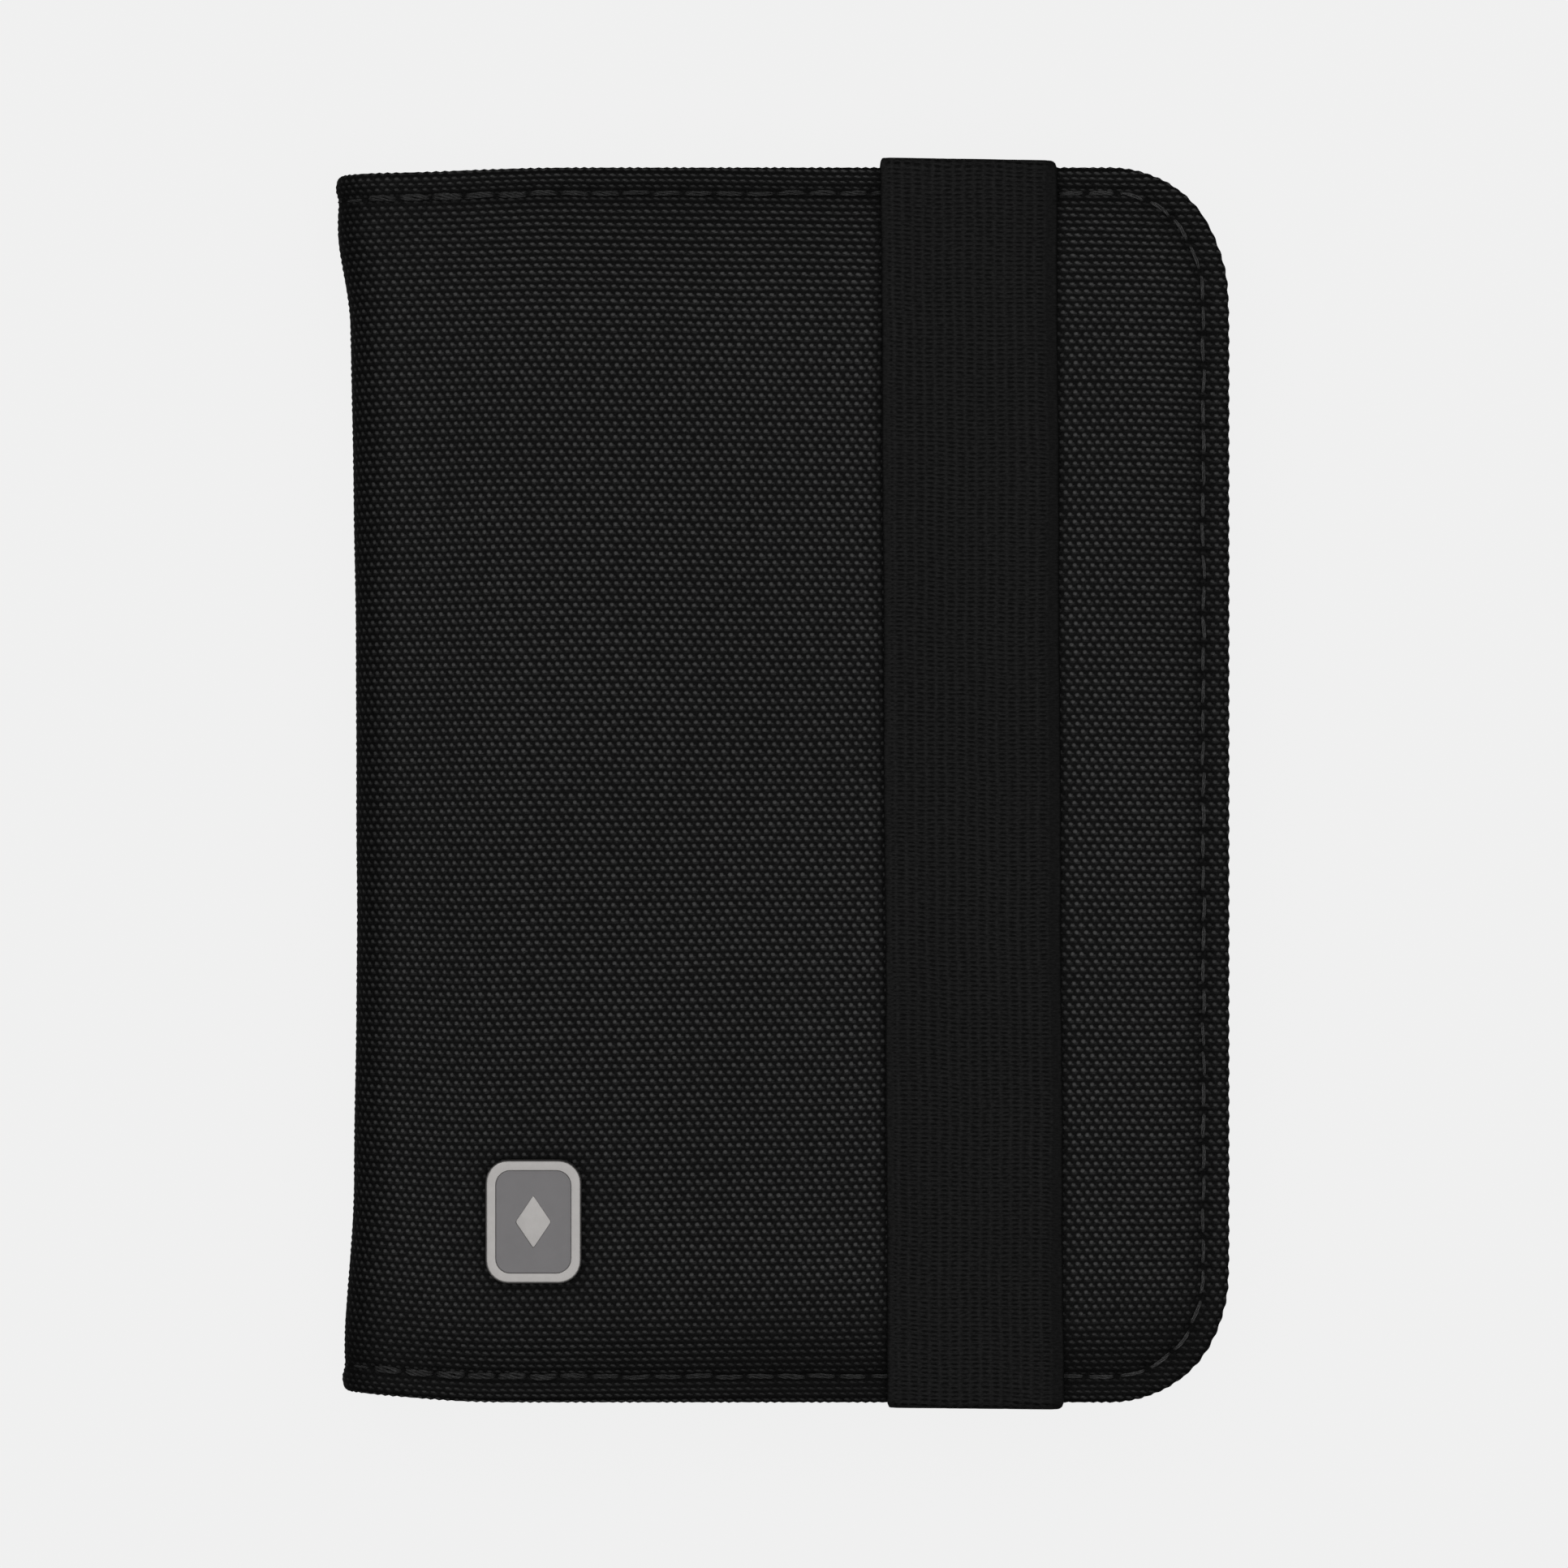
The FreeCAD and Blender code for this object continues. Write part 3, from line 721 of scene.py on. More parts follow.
class Cover:
    """Heights and cloth traits of one cover's outer face."""

    def __init__(self, wrap, seam, puff, crown, badge):
        self.wrap, self.seam, self.puff = wrap, seam, puff
        self.crown, self.badge = crown, badge
        self.highest = crown + 0.2 if badge else -0.01

    def height(self, s, y):
        inside = outline_distance(s, y)
        level = on_cover(s)
        phase, to_hole, away = self.seam.near(s, y)
        h = -border_drop(s) * (1 - smooth(PAD_START, PAD_FULL, inside))
        h -= bump(away, 0.85) * (0.24 + 0.08 * np.cos(2 * math.pi * phase)) * (0.45 + 0.55 * level)
        h += 0.05 * (1 - level) * np.cos(2 * math.pi * weave_place(s, y)[1] / WEFT)
        h -= 0.2 * bump(to_hole, 0.45) * bump(away, 0.36)
        h += 0.16 * bump(inside - 1.4, 0.7)
        h += self.crown * self.puff.at(s, y) * level
        h += dents(s, y) * smooth(3.0, 9.0, inside)
        return np.minimum(self.pressed(s, y, h) if self.badge else h, self.highest)

    def pressed(self, s, y, h):
        """The face under the elastic band and round the clenched badge."""
        under = 1 - smooth(-0.6, 2.2, band_gap(s, y))
        h = h * (1 - under) + np.minimum(h, 0.02) * under
        held = np.exp(-(badge_gap(s, y) / 2.6) ** 1.3)
        return h * (1 - held) - 0.12 * held

    def traits(self, s, y):
        """strain: cloth pulled flat towards a seam. The second trait is painted shade: a factor that dims the
        nubs where shade falls.
        """
        slack = np.where(y > 0, 24.0, 12.0)
        at_side = (0.2 + 0.35 * smooth(20.0, 50.0, y)) * (1 - smooth(6.0, 16.0, RIGHT - s))
        strain = np.maximum(1 - smooth(4.0, slack, TOP - np.abs(y)), at_side)
        strain *= 0.15 + 0.85 * smooth(-46.0, -26.0, s)
        _, to_hole, away = self.seam.near(s, y)
        # Painted shade: the nubs are dimmed in the seam's valley, at the stitch holes, round the spine's roll
        # and towards the bottom and top edges.
        painted_shade_factor = 1 - 0.35 * bump(away, 1.3) - 0.15 * (1 - smooth(3.5, 9.0, outline_distance(s, y)))
        painted_shade_factor *= 1 - bump(to_hole, 0.5) * bump(away, 0.45)
        painted_shade_factor *= 0.45 + 0.45 * smooth(ROLL_X - 7.0, ROLL_X, s) + 0.1 * smooth(ROLL_X, -30.0, s)
        low = (0.28 + 0.22 * smooth(-16.0, 0.0, s)) * (1 - smooth(6.0, 16.0, TOP + y))
        painted_shade_factor *= (1 - low) * (1 - 0.13 * (1 - smooth(6.0, 16.0, TOP - y)))
        # Painted shade beside the elastic band and round the badge.
        if self.badge:
            painted_shade_factor *= 1 - 0.5 * bump(band_gap(s, y), 0.7)
            painted_shade_factor *= 1 - 0.55 * np.exp(-badge_gap(s, y) / 2.0)
        return strain, painted_shade_factor


def cover_cloth(name, cover, mirrored, material):
    """The outer cloth of one cover and half of the spine, its edge turned in along three sides."""
    s, y, _, face_quads, border = outline_grid(cover.wrap.left, TOP - EDGE_ROUND, EDGE_ROUND,
                                               (0.47, 0.3, 0.0, 6.0), (0.37, 0.28, 6.0, 6.0))
    h = cover.height(s, y)
    u, v = weave_place(s, y)
    bs, by, bh, bu, bv = (values[border] for values in (s, y, h, u, v))
    out_s, out_y = outline_direction(bs, by)
    edge = SPINE_EDGE_THICK + (EDGE_THICK - SPINE_EDGE_THICK) * smooth(ROLL_X - 4, ROLL_X + 4, bs)
    lumps = out_y ** 2 * np.cos(math.pi * bu / WARP) + out_s ** 2 * np.cos(math.pi * bv / WEFT)
    rings = [(s, y, h, u, v)]

    def add_ring(reach, height, gone):
        rings.append((bs + out_s * reach, by + out_y * reach, height, bu + out_s * gone, bv + out_y * gone))

    for a in np.linspace(0, math.pi, EDGE_STEPS + 1)[1:]:
        round_reach = EDGE_ROUND * math.sin(a) * (1 + 0.085 * lumps)
        add_ring(round_reach, bh - edge / 2 * (1 - math.cos(a)), EDGE_ROUND * a)
    for inward in HEM_RINGS:
        add_ring(-inward, -border_drop(bs) - edge, EDGE_ROUND * math.pi + inward)
    ps, py, ph, pu, pv = (np.concatenate(values) for values in zip(*rings))
    strain, painted_shade_factor = cover.traits(np.minimum(ps, RIGHT - 0.1), np.clip(py, 0.1 - TOP, TOP - 0.1))
    points = cover.wrap.place(ps, py, ph)
    faces, previous = [face_quads], border
    for k in range(len(rings) - 1):
        current = len(s) + k * len(border) + np.arange(len(border))
        faces.append(rows(previous[:-1], current[:-1], current[1:], previous[1:]))
        previous = current
    faces = np.concatenate(faces)
    uv = rows(pu, pv)
    if mirrored:
        points, faces = mirrored_back(points, faces)
        uv = uv * (1, -1) + (0.3, 0.2)
    return mesh_piece(name, points, faces, material, uv, {"strain": strain, "painted_shade_factor": painted_shade_factor})


def strand(path, radius, sides=5):
    """A closed tube round a path: its points, its faces, and its length and turn as uv."""
    ahead = np.gradient(path, axis=0)
    ahead /= np.linalg.norm(ahead, axis=1, keepdims=True)
    side = np.cross(ahead, (0.0, 0.0, 1.0))
    side /= np.maximum(np.linalg.norm(side, axis=1, keepdims=True), 1e-9)
    over = np.cross(side, ahead)
    a = np.linspace(0, 2 * math.pi, sides, endpoint=False)
    ring = np.cos(a)[:, None] * side[:, None] + np.sin(a)[:, None] * over[:, None]
    points = (path[:, None] + ring * radius[:, None, None]).reshape(-1, 3)
    return points, tube_faces(len(path), sides), rows(run_of(path)[:, None], a * 0.16)


def thread_piece(name, strands, material, mirrored=False):
    """One mesh of many strands, rubbed paler towards the free edge."""
    faces, first = [], 0
    for part, part_faces, _ in strands:
        faces += [[first + k for k in face] for face in part_faces]
        first += len(part)
    points = np.concatenate([part for part, _, _ in strands])
    uv = np.concatenate([part_uv + (7.3 * n, 0.0) for n, (_, _, part_uv) in enumerate(strands)])
    if mirrored:
        points, faces = mirrored_back(points, faces)
    return mesh_piece(name, points, faces, material, uv, {"rubbed": smooth(25.0, 46.0, points[:, 0])})


def stitches(name, cover, mirrored, material, seed):
    """The thread of one cover's edge seam: each stitch is four twisted plies between two holes."""
    rng = np.random.default_rng(seed)
    seam = cover.seam
    tau = np.linspace(-1, 1, 10)
    arch, drop = 1 - np.abs(tau) ** 3, 0.5 * np.abs(tau) ** 5
    plies = []
    for n in range(seam.count):
        middle = (n + 0.5) * seam.pitch + rng.uniform(-0.08, 0.08)
        gap = 0.16 + 0.14 * smooth(0.0, 20.0, seam.at(middle)[0])
        x, y, angle = seam.at(middle + tau * (seam.pitch / 2 - gap))
        near_spine = 1 - smooth(-40.0, -18.0, x.mean())
        at_roll = 1 - smooth(-48.5, -43.5, x.mean())
        thick = (0.85 + 0.5 * near_spine) * (1 - 0.65 * at_roll) * rng.uniform(0.9, 1.12)
        thick *= 1 - 0.25 * smooth(26.0, 46.0, x.mean())
        floor = cover.height(x, y)[4:6].min() - 0.02 - 0.22 * at_roll
        slant, shift, bow = rng.uniform(-0.12, 0.12), rng.uniform(-0.05, 0.05), rng.uniform(-0.1, 0.1)
        bend = slant * tau + shift + bow * (1 - tau ** 2)
        start = rng.uniform(0, 2 * math.pi)
        for ply in range(PLIES):
            turn = start + ply * QUARTER + 2.2 * tau + rng.uniform(-0.3, 0.3)
            spread = 0.17 * thick * (0.55 + 0.45 * arch)
            side = np.cos(turn) * spread * 1.25 + bend
            rise = floor + 0.13 * thick + 0.1 * arch + np.sin(turn) * spread * 0.8 - drop
            rise = np.minimum(rise, cover.highest + 0.45 * cover.badge - 0.14)
            path = rows(x - np.sin(angle) * side, y + np.cos(angle) * side, rise)
            points, faces, uv = strand(path, PLY_R * thick * (1 - 0.35 * tau ** 4))
            plies.append((cover.wrap.place(*points.T), faces, uv))
    return thread_piece(name, plies, material, mirrored)


def lining_cloth(name, wrap, low_h, mirrored, material):
    """A thin lining with its edge folded under, over one cover's inside and half of the spine."""
    s, y, inside, top, _ = outline_grid(wrap.left, TOP - LINING_INSET, LINING_INSET,
                                        (1.2, 0.5, 0.0, 3.0), (1.2, 0.5, 3.0, 3.0))
    edge = 0.15 * smooth(0, 0.5, inside)
    loose = (1 - smooth(ROLL_X - 4, ROLL_X + 6, s)) * smooth(1.5, 4.5, s - wrap.left)
    wave = 0.12 * loose * np.sin(y * 0.35 + np.sin(y * 0.11))
    inner = low_h + 0.15 - edge - 0.05 * bump(inside - 1.5, 0.6) + wave
    outer = low_h + 0.15 + edge * 0.9
    points = np.concatenate([wrap.place(s, y, outer), wrap.place(s, y, inner)])
    faces = np.concatenate([top, top[:, ::-1] + len(s)])
    if mirrored:
        points, faces = mirrored_back(points, faces)
    return mesh_piece(name, points, faces, material, np.tile(rows(s, y), (2, 1)))


# ---- elastic band

class BandPath:
    """The band's middle line: level over the front, round the edge and down to the seam."""

    TURN_R = 0.75
    CAUGHT = 0.25
    LEFT_CORNER = 0.4

    def __init__(self):
        self.z = (SPAN_LOW[2] + SPAN_HIGH[2]) / 2
        self.thick = (SPAN_HIGH[2] - SPAN_LOW[2]) / 2
        self.level = TURN_HIGH[1] - self.thick - self.TURN_R
        self.turned = self.level + self.TURN_R * QUARTER
        self.length = self.turned + (self.z - self.TURN_R) - TURN_LOW[2] - self.CAUGHT

    def at(self, a):
        """Place along y and z, and the way out, at length a from the middle of the front."""
        turn = np.clip((a - self.level) / self.TURN_R, 0, QUARTER)
        down = np.clip(a - self.turned, 0, None)
        y = np.minimum(a, self.level) + self.TURN_R * np.sin(turn)
        z = self.z - self.TURN_R * (1 - np.cos(turn)) - down
        return y, z, np.sin(turn), np.cos(turn)

    def pulled_in(self, a, b, side):
        """How far the turn is drawn in: its corners are rounded, and its edge runs slightly askew."""
        across = b / BAND_W + 0.5
        inward = 0.02 + 0.33 * across if side > 0 else 0.33 - 0.2 * across
        for radius, way in ((BAND_CORNER, 1), (self.LEFT_CORNER, -1)):
            into = np.clip((way * b - BAND_W / 2 + radius) / radius, 0, 0.999)
            inward = inward + radius * (1 - np.sqrt(1 - into ** 2))
        return inward * smooth(self.level - 1.2, self.turned, a)


def band_weave(a, b, side):
    """Cloth coordinates of the band: its ribs drift a little as they cross it."""
    v = side * a + 0.033 * b + 0.1 * np.sin(0.3 * b + 0.05 * a) + 0.06 * np.sin(0.71 * b - 0.13 * a)
    return b + 0.09 * np.sin(0.13 * a) + 0.04 * np.sin(0.47 * a), v


def band_strip(name, path, low, high, side, material):
    """A stretch of the ribbed band between two lengths from its middle, on the top or bottom half."""
    half = BAND_W / 2 - BAND_EDGE
    turn = np.linspace(QUARTER, -QUARTER, 7)[1:-1]
    over, under = np.linspace(-half, half, 84), np.linspace(half, -half, 12)
    b = np.concatenate([over, half + BAND_EDGE * np.cos(turn), under, -half - BAND_EDGE * np.cos(turn)])
    c = np.concatenate([np.ones(len(over)), np.sin(turn), -np.ones(len(under)), -np.sin(turn)])
    a, b = np.meshgrid(np.linspace(low, high, int((high - low) / RIB_PITCH * 4) + 2), b, indexing="ij")
    c = np.broadcast_to(c, a.shape)
    u, v = band_weave(a, b, side)
    off_column = (u / COLUMN_PITCH - np.round(u / COLUMN_PITCH)) * COLUMN_PITCH
    off_rib = (v / RIB_PITCH - np.round(v / RIB_PITCH)) * RIB_PITCH
    dash, groove = bump(off_column, 0.36) * bump(off_rib, 0.12), bump(off_rib, 0.13)
    inside = smooth(0.7, 1.1, u + BAND_W / 2) * (1 - smooth(BAND_W / 2 - 1.35, BAND_W / 2 - 0.95, u))
    relief = -0.02 * groove * inside - 0.06 * dash * inside - 0.03 * (1 - inside)
    crown = 0.03 * np.cos(math.pi * b / BAND_W) - 0.02
    out = c * path.thick + np.where(c > 0.999, relief + crown, 0)
    y, z, out_y, out_z = path.at(a)
    wave = 1 + 0.004 * np.sin(a * 0.19 + 1.0) + 0.002 * np.sin(a * 0.71)
    x = BAND_X - BAND_LEAN * side * np.minimum(a, TOP) / TOP + b * wave
    along = side * (y - path.pulled_in(a, b, side) + out_y * out)
    points, uv = rows(x, along, z + out_z * out), rows(u, v)
    columns, count = a.shape[1], a.size
    faces = grid_faces(*a.shape, closed=True).tolist()
    faces.append(list(range(count, count + columns))[::-1])
    faces.append(list(range(count + columns, count + 2 * columns)))
    if side < 0:
        faces = turned_over(faces)
    with_ends = [np.concatenate([values, values[:columns], values[-columns:]]) for values in (points, uv)]
    return mesh_piece(name, with_ends[0], faces, material, with_ends[1])


# ---- badge

INNER_R = BADGE_R - BADGE_RIM * 0.8
RIM_ROUND, RIM_BEVEL = 0.32, 0.1


def badge_ring(inset, radius):
    """Points round a rounded rectangle, inset from the badge's outline."""
    x, y = BADGE_W / 2 - inset - radius, BADGE_H / 2 - inset - radius
    ring = []
    for quarter, (cx, cy) in enumerate([(x, y), (-x, y), (-x, -y), (x, -y)]):
        a = (quarter + np.linspace(0, 1, 8)) * QUARTER
        ring.append(rows(cx + radius * np.cos(a), cy + radius * np.sin(a)))
    return np.concatenate(ring) + (BADGE_X, BADGE_Y)


def ringed_piece(name, rings, material):
    """A solid from rings of equal count, each (flat points, z), from the bottom up."""
    points = np.concatenate([rows(*flat.T, z) for flat, z in rings])
    return mesh_piece(name, points, turned_over(tube_faces(len(rings), len(rings[0][0]))), material)


def badge_frame(material):
    """The cast frame: a softly rounded rim round a sunk floor."""
    rings = [(badge_ring(0, BADGE_R), THICK - 0.15)]
    for a in np.linspace(0, QUARTER, 7):
        inset = RIM_ROUND * (1 - math.cos(a))
        rings.append((badge_ring(inset, BADGE_R - inset), FRAME_TOP - RIM_ROUND * (1 - math.sin(a))))
    for a in np.linspace(0, QUARTER, 4):
        grow = RIM_BEVEL * (1 - math.sin(a))
        ring = badge_ring(BADGE_RIM - grow, INNER_R + grow)
        rings.append((ring, FRAME_TOP - RIM_BEVEL * (1 - math.cos(a))))
    rings.append((badge_ring(BADGE_RIM - 0.01, INNER_R), BADGE_LOW[2]))
    return ringed_piece("badge_rim", rings, material)


def badge_enamel(material):
    """The enamel field, nearly flush with the rim and drawn up a little where it wets it."""
    top = BADGE_HIGH[2] + 0.12
    rings = [(badge_ring(BADGE_RIM, INNER_R), BADGE_LOW[2]),
             (badge_ring(BADGE_RIM, INNER_R), top + 0.05),
             (badge_ring(BADGE_RIM + 0.15, INNER_R - 0.15), top + 0.01),
             (badge_ring(BADGE_RIM + 0.45, INNER_R - 0.4), top),
             (badge_ring(BADGE_RIM + 1.7, 0.3), top + 0.02)]
    return ringed_piece("badge_enamel_field", rings, material)


def badge_motif(material):
    """A plain lozenge standing in the enamel, with rounded points and bevelled edges."""
    top = FRAME_TOP - 0.02
    tips = np.array([[2.1, 0], [0, 3.1], [-2.1, 0], [0, -3.1]])
    outline = []
    for before, tip, after in zip(np.roll(tips, 1, axis=0), tips, np.roll(tips, -1, axis=0)):
        start, end = tip + (before - tip) * 0.08, tip + (after - tip) * 0.08
        for t in np.linspace(0, 1, 6):
            outline.append((1 - t) ** 2 * start + 2 * t * (1 - t) * tip + t * t * end)
    outline = np.array(outline)
    steps = ((1, BADGE_LOW[2]), (1, top - 0.12), (0.975, top - 0.03), (0.93, top))
    rings = [((BADGE_X, BADGE_Y) + outline * size, z) for size, z in steps]
    return ringed_piece("badge_lozenge", rings, material)


# ---- inside

def pocket_panel(name, node, material, uv_shift):
    """A pocket panel with a folded mouth, its other sides following the cover's outline."""
    low, high = box_mm(node)
    s, y, inside, top, border = outline_grid(low[0], high[1], POCKET_INSET,
                                             (1.3, 0.5, 0.0, 3.0), (1.3, 0.35, 2.0, 2.5))
    mouth = high[1] - y
    sewn = 0.1 * bump(inside - 1.2, 0.5)
    fold = 0.1 * (1 - smooth(1.6, 2.1, mouth))
    edge_round = 0.12 * (1 - smooth(0, 0.3, np.minimum(inside, mouth)))
    face = low[2] + sewn - fold + edge_round - 0.06 * np.sin(s * 0.09 + 1) * smooth(2, 10, inside)
    back = high[2] - edge_round * 0.5
    points = np.concatenate([rows(s, y, back), rows(s, y, face)])
    rim = np.concatenate([border, np.arange(border[-1] - 1, -1, -1)])
    wall = rows(rim[:-1], rim[:-1] + len(s), rim[1:] + len(s), rim[1:])
    faces = np.concatenate([top, top[:, ::-1] + len(s), wall])
    return mesh_piece(name, points, faces, material, np.tile(rows(s, y) + uv_shift, (2, 1)))


def topstitch(name, start, end, z, material):
    """Fine topstitching along a straight run, standing off a face that looks down."""
    tau = np.linspace(-1, 1, 6)
    run = np.subtract(end, start)
    count = max(1, round(np.linalg.norm(run) / FINE_PITCH))
    rise = z - (0.08 - 0.2 * np.abs(tau) ** 4)
    strands = []
    for n in range(count):
        flat = start + np.outer((n + 0.5 + tau * 0.42) / count, run)
        strands.append(strand(rows(*flat.T, rise), FINE_R * (1 - 0.3 * tau ** 4)))
    return thread_piece(name, strands, material)


def sleeve_outline(inset, z, low_x):
    """A ring along the sleeve's three closed sides: bottom, free edge and top."""
    radius = CORNER_R - inset
    a = np.linspace(0, QUARTER, 14)
    right, top = RIGHT - CORNER_R, TOP - CORNER_R
    straight = np.linspace(low_x, right, 40, endpoint=False)
    rise = np.linspace(-top, top, 50)[1:-1]
    level = np.full(len(straight), top + radius)
    x = np.concatenate([straight, right + radius * np.sin(a), np.full(len(rise), right + radius),
                        right + radius * np.cos(a), straight[::-1]])
    y = np.concatenate([-level, -top - radius * np.cos(a), rise, top + radius * np.sin(a), level])
    return rows(x, y, z)


def sleeve_gusset(material):
    """The sleeve's pleated side wall, with a flange sewn to the lining and a rolled upper edge."""
    low = box_mm("passport_sleeve_gusset")[0]
    foot, roof = low[2] + 0.05, box_mm("passport_sleeve_panel")[1][2] - 0.2
    middle = (foot + roof) / 2
    flange = [(-1.3, foot), (-0.5, foot), (-0.1, foot + 0.15), (0, foot + 0.5)]
    pleat = [(0.25, middle - 0.8), (0.75, middle - 0.25), (0.85, middle), (0.75, middle + 0.25),
             (0.25, middle + 0.8)]
    roll = [(0, roof - 0.8), (0.05, roof - 0.35), (0.3, roof - 0.08), (0.9, roof)]
    profile = [(SLEEVE_INSET + inward, z) for inward, z in flange + pleat + roll]
    rings = [sleeve_outline(inset, z, low[0]) for inset, z in profile]
    n = np.arange(len(rings[0]))
    for ring in rings[3:9]:
        ring[:, 2] += 0.1 * np.sin(n * 0.45) * np.sin(n * 0.11)
    uv = rows(run_of(rings[0][:, :2]), run_of(profile)[:, None])
    piece = mesh_piece("passport_sleeve_gusset_cloth", np.concatenate(rings),
                       grid_faces(len(rings), len(n)), material, uv)
    return thicken(piece, SLEEVE_CLOTH)


def sleeve_panel(material):
    """The sleeve's top panel, crowned a little inside its sewn edge and level at its free mouth."""
    low, high = box_mm("passport_sleeve_panel")
    margins = (1.2, 0.5, 3.0, 3.0)
    x, y, inside, faces, _ = outline_grid(low[0], TOP - SLEEVE_INSET, SLEEVE_INSET, margins, margins)
    z = high[2] - 0.25 * (1 - smooth(0.0, 1.4, inside)) - 0.16 * bump(inside - 2.2, 0.55)
    ripple = 0.05 * np.sin(x * 0.13 + 1.0) * np.sin(y * 0.09) * smooth(3, 9, inside)
    z += (0.1 * smooth(4, 20, inside) + ripple) * smooth(4.5, 12.0, x - low[0])
    return thicken(mesh_piece("passport_sleeve_panel_cloth", rows(x, y, z), faces, material, rows(x, y)),
                   SLEEVE_CLOTH)


def spine_tape(wrap, material):
    """Ribbed tape over the join of the two lining halves, along the middle of the spine's inside."""
    ys = np.linspace(TAPE_END - TOP, TOP - TAPE_END, 200)
    half = np.linspace(TAPE_HALF, 0.0, 8)
    s, y = np.meshgrid(wrap.left + half, ys, indexing="ij")
    upper = wrap.place(s, y, -0.6 - 0.4 * np.maximum(spine_pull(LEFT, y), 0.0))
    lower = upper[-2::-1] * (1, 1, -1) + (0, 0, THICK)
    points = np.concatenate([upper, lower]).reshape(-1, 3)
    across = np.concatenate([half, -half[-2::-1]])
    piece = mesh_piece("spine_lining_tape", points, grid_faces(len(across), len(ys)), material,
                       rows(across[:, None], ys))
    return thicken(piece, TAPE_CLOTH)


def mouth_binding(material):
    """Ribbed tape folded over the sleeve's mouth, with a soft round nose."""
    low, high = box_mm("passport_sleeve_binding")
    nose = (high[2] - low[2]) / 2
    a = np.linspace(QUARTER, 3 * QUARTER, 9)
    flap = rows(np.linspace(high[0] - low[0] - nose, 0, 8, endpoint=False), nose)
    flap[0] += (0.02, -0.12)
    tip = rows(nose * np.cos(a), nose * np.sin(a))
    ring = np.concatenate([flap, tip, flap[::-1] * (1, -1)]) + (low[0] + nose, (high[2] + low[2]) / 2)
    y, k = np.meshgrid(np.linspace(low[1], high[1], 260), np.arange(len(ring)), indexing="ij")
    x = ring[k, 0] + 0.04 * np.sin(y * 0.3)
    z = ring[k, 1] + 0.03 * np.sin(y * 0.17 + 1)
    piece = mesh_piece("passport_sleeve_binding_tape", rows(x, y, z), grid_faces(*y.shape), material,
                       rows(run_of(ring)[k], y))
    return thicken(piece, BINDING_CLOTH)


def bartack_threads(material):
    """A dense zigzag bar of thread at each end of the mouth."""
    low, high = box_mm("passport_sleeve_bartacks")
    tau = np.linspace(-1, 1, 5)
    turns, length = 15, 1.4
    strands = []
    for end in (-1, 1):
        for n in range(turns):
            way = end if n % 2 else -end
            x = low[0] + (high[0] - low[0]) * n / turns + 0.1 * tau + 0.1
            y = end * (high[1] - length / 2) + way * tau * length / 2
            z = high[2] + 0.06 - 0.14 * tau ** 4
            strands.append(strand(rows(x, y, z), np.full(len(tau), BARTACK_R)))
    return thread_piece("passport_sleeve_bartack_threads", strands, material)


# ---- scene

def soft_light(name, where, size, power):
    """A round area light that faces the wallet."""
    data = bpy.data.lights.new(name, "AREA")
    data.shape, data.size, data.energy = "DISK", size, power
    lamp = add_object(name, data)
    lamp.location = where
    lamp.rotation_euler = (-Vector(where)).to_track_quat("-Z", "Y").to_euler()


def surroundings():
    """A pale world for the camera, and a dimmer one that lights the wallet."""
    world = bpy.data.worlds.new("studio")
    bpy.context.scene.world = world
    world.use_nodes = True
    tree = world.node_tree
    background = tree.nodes["Background"]
    background.inputs["Color"].default_value = grey(PALE)
    dome = tree.nodes.new("ShaderNodeBackground")
    dome.inputs["Color"].default_value = grey(DOME_LIGHT)
    seen = tree.nodes.new("ShaderNodeLightPath")
    either = tree.nodes.new("ShaderNodeMixShader")
    tree.links.new(seen.outputs["Is Camera Ray"], either.inputs[0])
    tree.links.new(dome.outputs[0], either.inputs[1])
    tree.links.new(background.outputs[0], either.inputs[2])
    tree.links.new(either.outputs[0], tree.nodes["World Output"].inputs[0])


def pale_floor():
    """A paper floor just under the wallet, lit evenly by its own glow."""
    sides = ((-1, -1), (1, -1), (1, 1), (-1, 1))
    floor = add_object("floor", bpy.data.meshes.new("floor"))
    floor.data.from_pydata([(x * FLOOR_HALF, y * FLOOR_HALF, FLOOR_Z) for x, y in sides], [], [(0, 1, 2, 3)])
    paper = Recipe("pale_floor", Roughness=1.0, Specular_IOR_Level=0.0, Emission_Strength=FLOOR_GLOW)
    paper.feed(paper.shader.inputs["Base Color"], grey(FLOOR_ALBEDO))
    paper.feed(paper.shader.inputs["Emission Color"], grey(1.0))
    floor.data.materials.append(paper.material)
    floor.visible_diffuse = False
    floor.visible_glossy = False
    floor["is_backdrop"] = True


def studio():
    """Pale floor, soft light and a long-lens camera straight above the front cover."""
    scene = bpy.context.scene
    scene.view_settings.view_transform = "Standard"
    surroundings()
    pale_floor()
    soft_light("softbox", (0.1, 0.08, 0.95), 2.0, SOFTBOX_POWER)
    soft_light("key", (-0.60, 0.65, 0.70), 0.40, KEY_POWER)

    lens = bpy.data.cameras.new("camera")
    lens.lens, lens.sensor_width, lens.clip_start = 120.0, 36.0, 0.01
    scene.camera = add_object("camera", lens)
    scene.camera.location = (0, 0, THICK * MM + SEEN_WIDTH * lens.lens / lens.sensor_width)


# ---- building

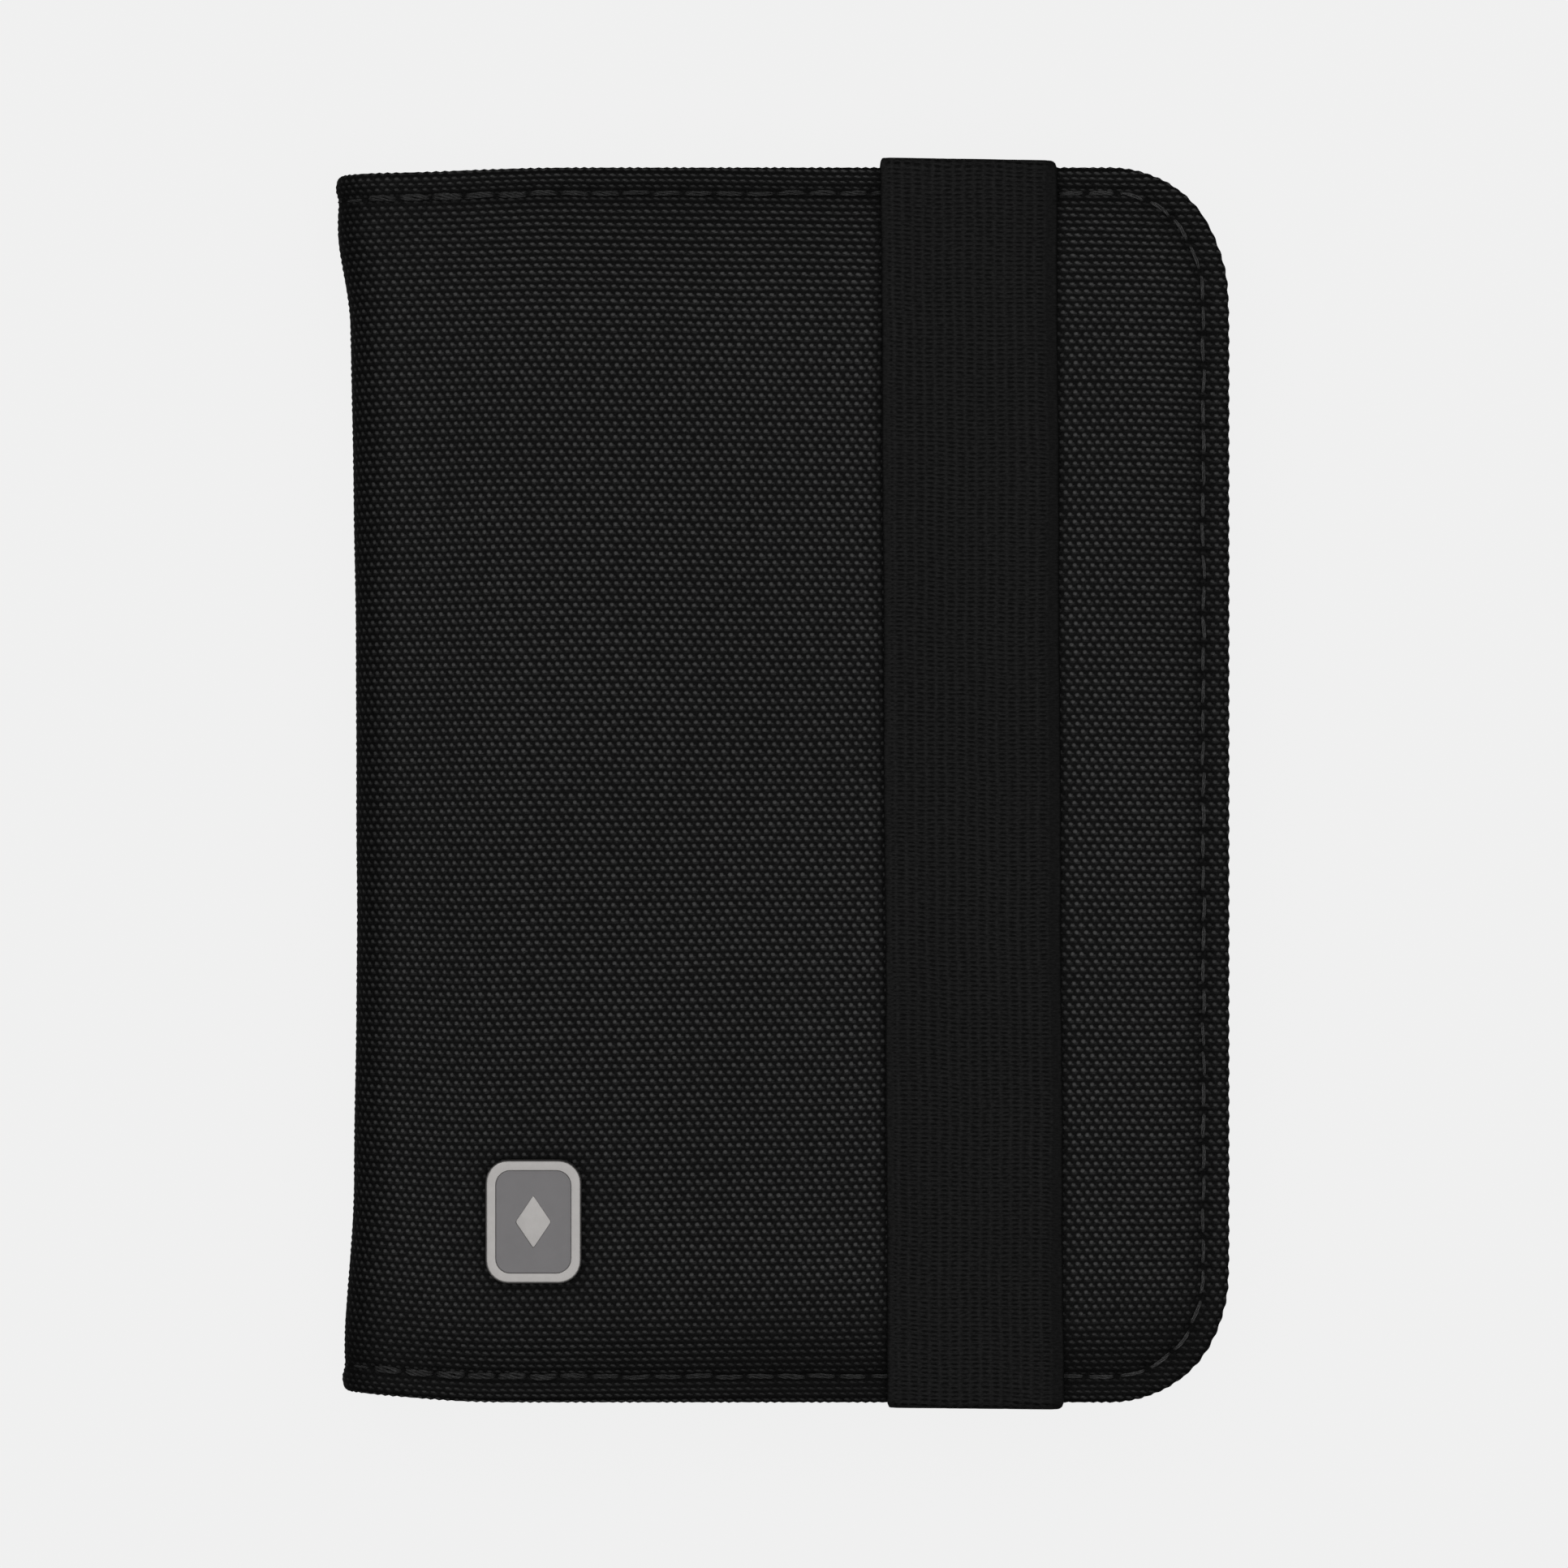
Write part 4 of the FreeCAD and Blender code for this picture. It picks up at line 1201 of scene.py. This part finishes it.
def build_covers(cloth, sewn, lining):
    """Outer cloth, edge stitches and lining of both covers, each wrapped round half of the spine."""
    wrap, inner_wrap = Wrap(LEFT, THICK), Wrap(LEFT + LINING_INWARD, LINING_HIGH[2])
    seam, puff = Seam(wrap.left), Puff(wrap.left)
    thin = LINING_LOW[2] - LINING_HIGH[2]
    sides = (("front", "front_cover", False, SWELL), ("back", "back_cover", True, 0.0))
    for side, body, mirrored, crown in sides:
        cover = Cover(wrap, seam, puff, crown, badge=not mirrored)
        outer = cover_cloth(f"{side}_cover_cloth", cover, mirrored, cloth)
        sewing = stitches(f"{side}_edge_stitches", cover, mirrored, sewn, STITCH_SEEDS[side])
        inner = lining_cloth(f"{side}_lining_cloth", inner_wrap, thin, mirrored, lining)
        for piece in (outer, sewing, inner):
            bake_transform(piece)
        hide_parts(f"{side}_shell", "spine_shell")
        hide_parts(f"{side}_edge_stitching")
        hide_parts(f"{side}_lining", "spine_lining")
    return inner_wrap


def build_band(elastic):
    """Both halves of the band, and the turns that take them down to the back cover's seams."""
    path = BandPath()
    for side, word in ((1, "top"), (-1, "bottom")):
        span = band_strip(f"band_{word}_half", path, 0.0, BAND_SPLIT, side, elastic)
        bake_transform(span)
        turn = band_strip(f"band_{word}_turn_strip", path, BAND_SPLIT, path.length, side, elastic)
        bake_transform(turn)
        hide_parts("band_front_span")
        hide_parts(f"band_{word}_turn", f"band_{word}_tail")


def build_pockets(pocket, sewn):
    """The slip pocket and the stepped card slots over it, each with its mouth topstitched."""
    for n, node in enumerate(("slip_pocket", "card_slot_1", "card_slot_2", "card_slot_3")):
        panel = place(pocket_panel(f"{node}_cloth", node, pocket, (0.7 * n, 0.4 * n)), "front_cover",
                      "pocket_cloth", node)
        low, high = box_mm(node)
        mouth = high[1] - MOUTH_SEAM
        start, end = (low[0] + 1, mouth), (RIGHT - MOUTH_SEAM_END, mouth)
        row = topstitch(f"{node}_topstitch", start, end, low[2], sewn)
        place(row, "front_cover", "sewing_thread")


def build_sleeve(inner_wrap, pocket, tape, sewn):
    """The passport sleeve on the back cover, and the tape along the spine."""
    place(spine_tape(inner_wrap, tape), "spine", "binding_tape")
    gusset, panel = sleeve_gusset(pocket), sleeve_panel(pocket)
    place(gusset, "back_cover", "pocket_cloth", "passport_sleeve_gusset")
    place(panel, "back_cover", "pocket_cloth", "passport_sleeve_panel")
    place(mouth_binding(tape), "back_cover", "binding_tape", "passport_sleeve_binding")
    place(bartack_threads(sewn), "back_cover", "sewing_thread", "passport_sleeve_bartacks")


def dress_hidden_nodes(metal):
    """Materials for the CAD nodes that stay as they are, inside the covers and under the badge."""
    dressed = {"badge_backing_plate": metal}
    for side in ("back", "front"):
        dressed[f"{side}_foam"] = hidden_layer("pad_foam", 0.2, 0.3, 3.0)
        dressed[f"{side}_board"] = hidden_layer("stiff_board", 0.01, 0.03, 0.8)
        dressed[f"{side}_shield"] = hidden_layer("shielding", 0.5, 0.6, 0.5, 0.8)
    for node, material in dressed.items():
        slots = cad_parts[node].data.materials
        slots.clear()
        slots.append(material)


def build():
    cloth, elastic, sewn = ballistic_cloth(), elastic_cloth(), thread()
    lining = fine_cloth("lining_cloth", grey(0.01), grey(0.075, (0.97, 1.0, 1.05)), 0.3, ripstop=4.5)
    pocket = fine_cloth("pocket_cloth", grey(0.002), grey(0.034), 0.55)
    metal, enamel, tape = satin_metal(), grey_enamel(), ribbed_tape()
    inner_wrap = build_covers(cloth, sewn, lining)
    build_band(elastic)
    place(badge_frame(metal), "front_cover", "satin_metal", "badge_frame")
    place(badge_motif(metal), "front_cover", "satin_metal")
    place(badge_enamel(enamel), "front_cover", "grey_enamel", "badge_enamel")
    build_pockets(pocket, sewn)
    build_sleeve(inner_wrap, pocket, tape, sewn)
    dress_hidden_nodes(metal)


build()
studio()


def corners(low_high):
    return [list(corner) for corner in low_high]


{"cad": corners((cad_low, cad_high)), "visual": corners(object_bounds())}
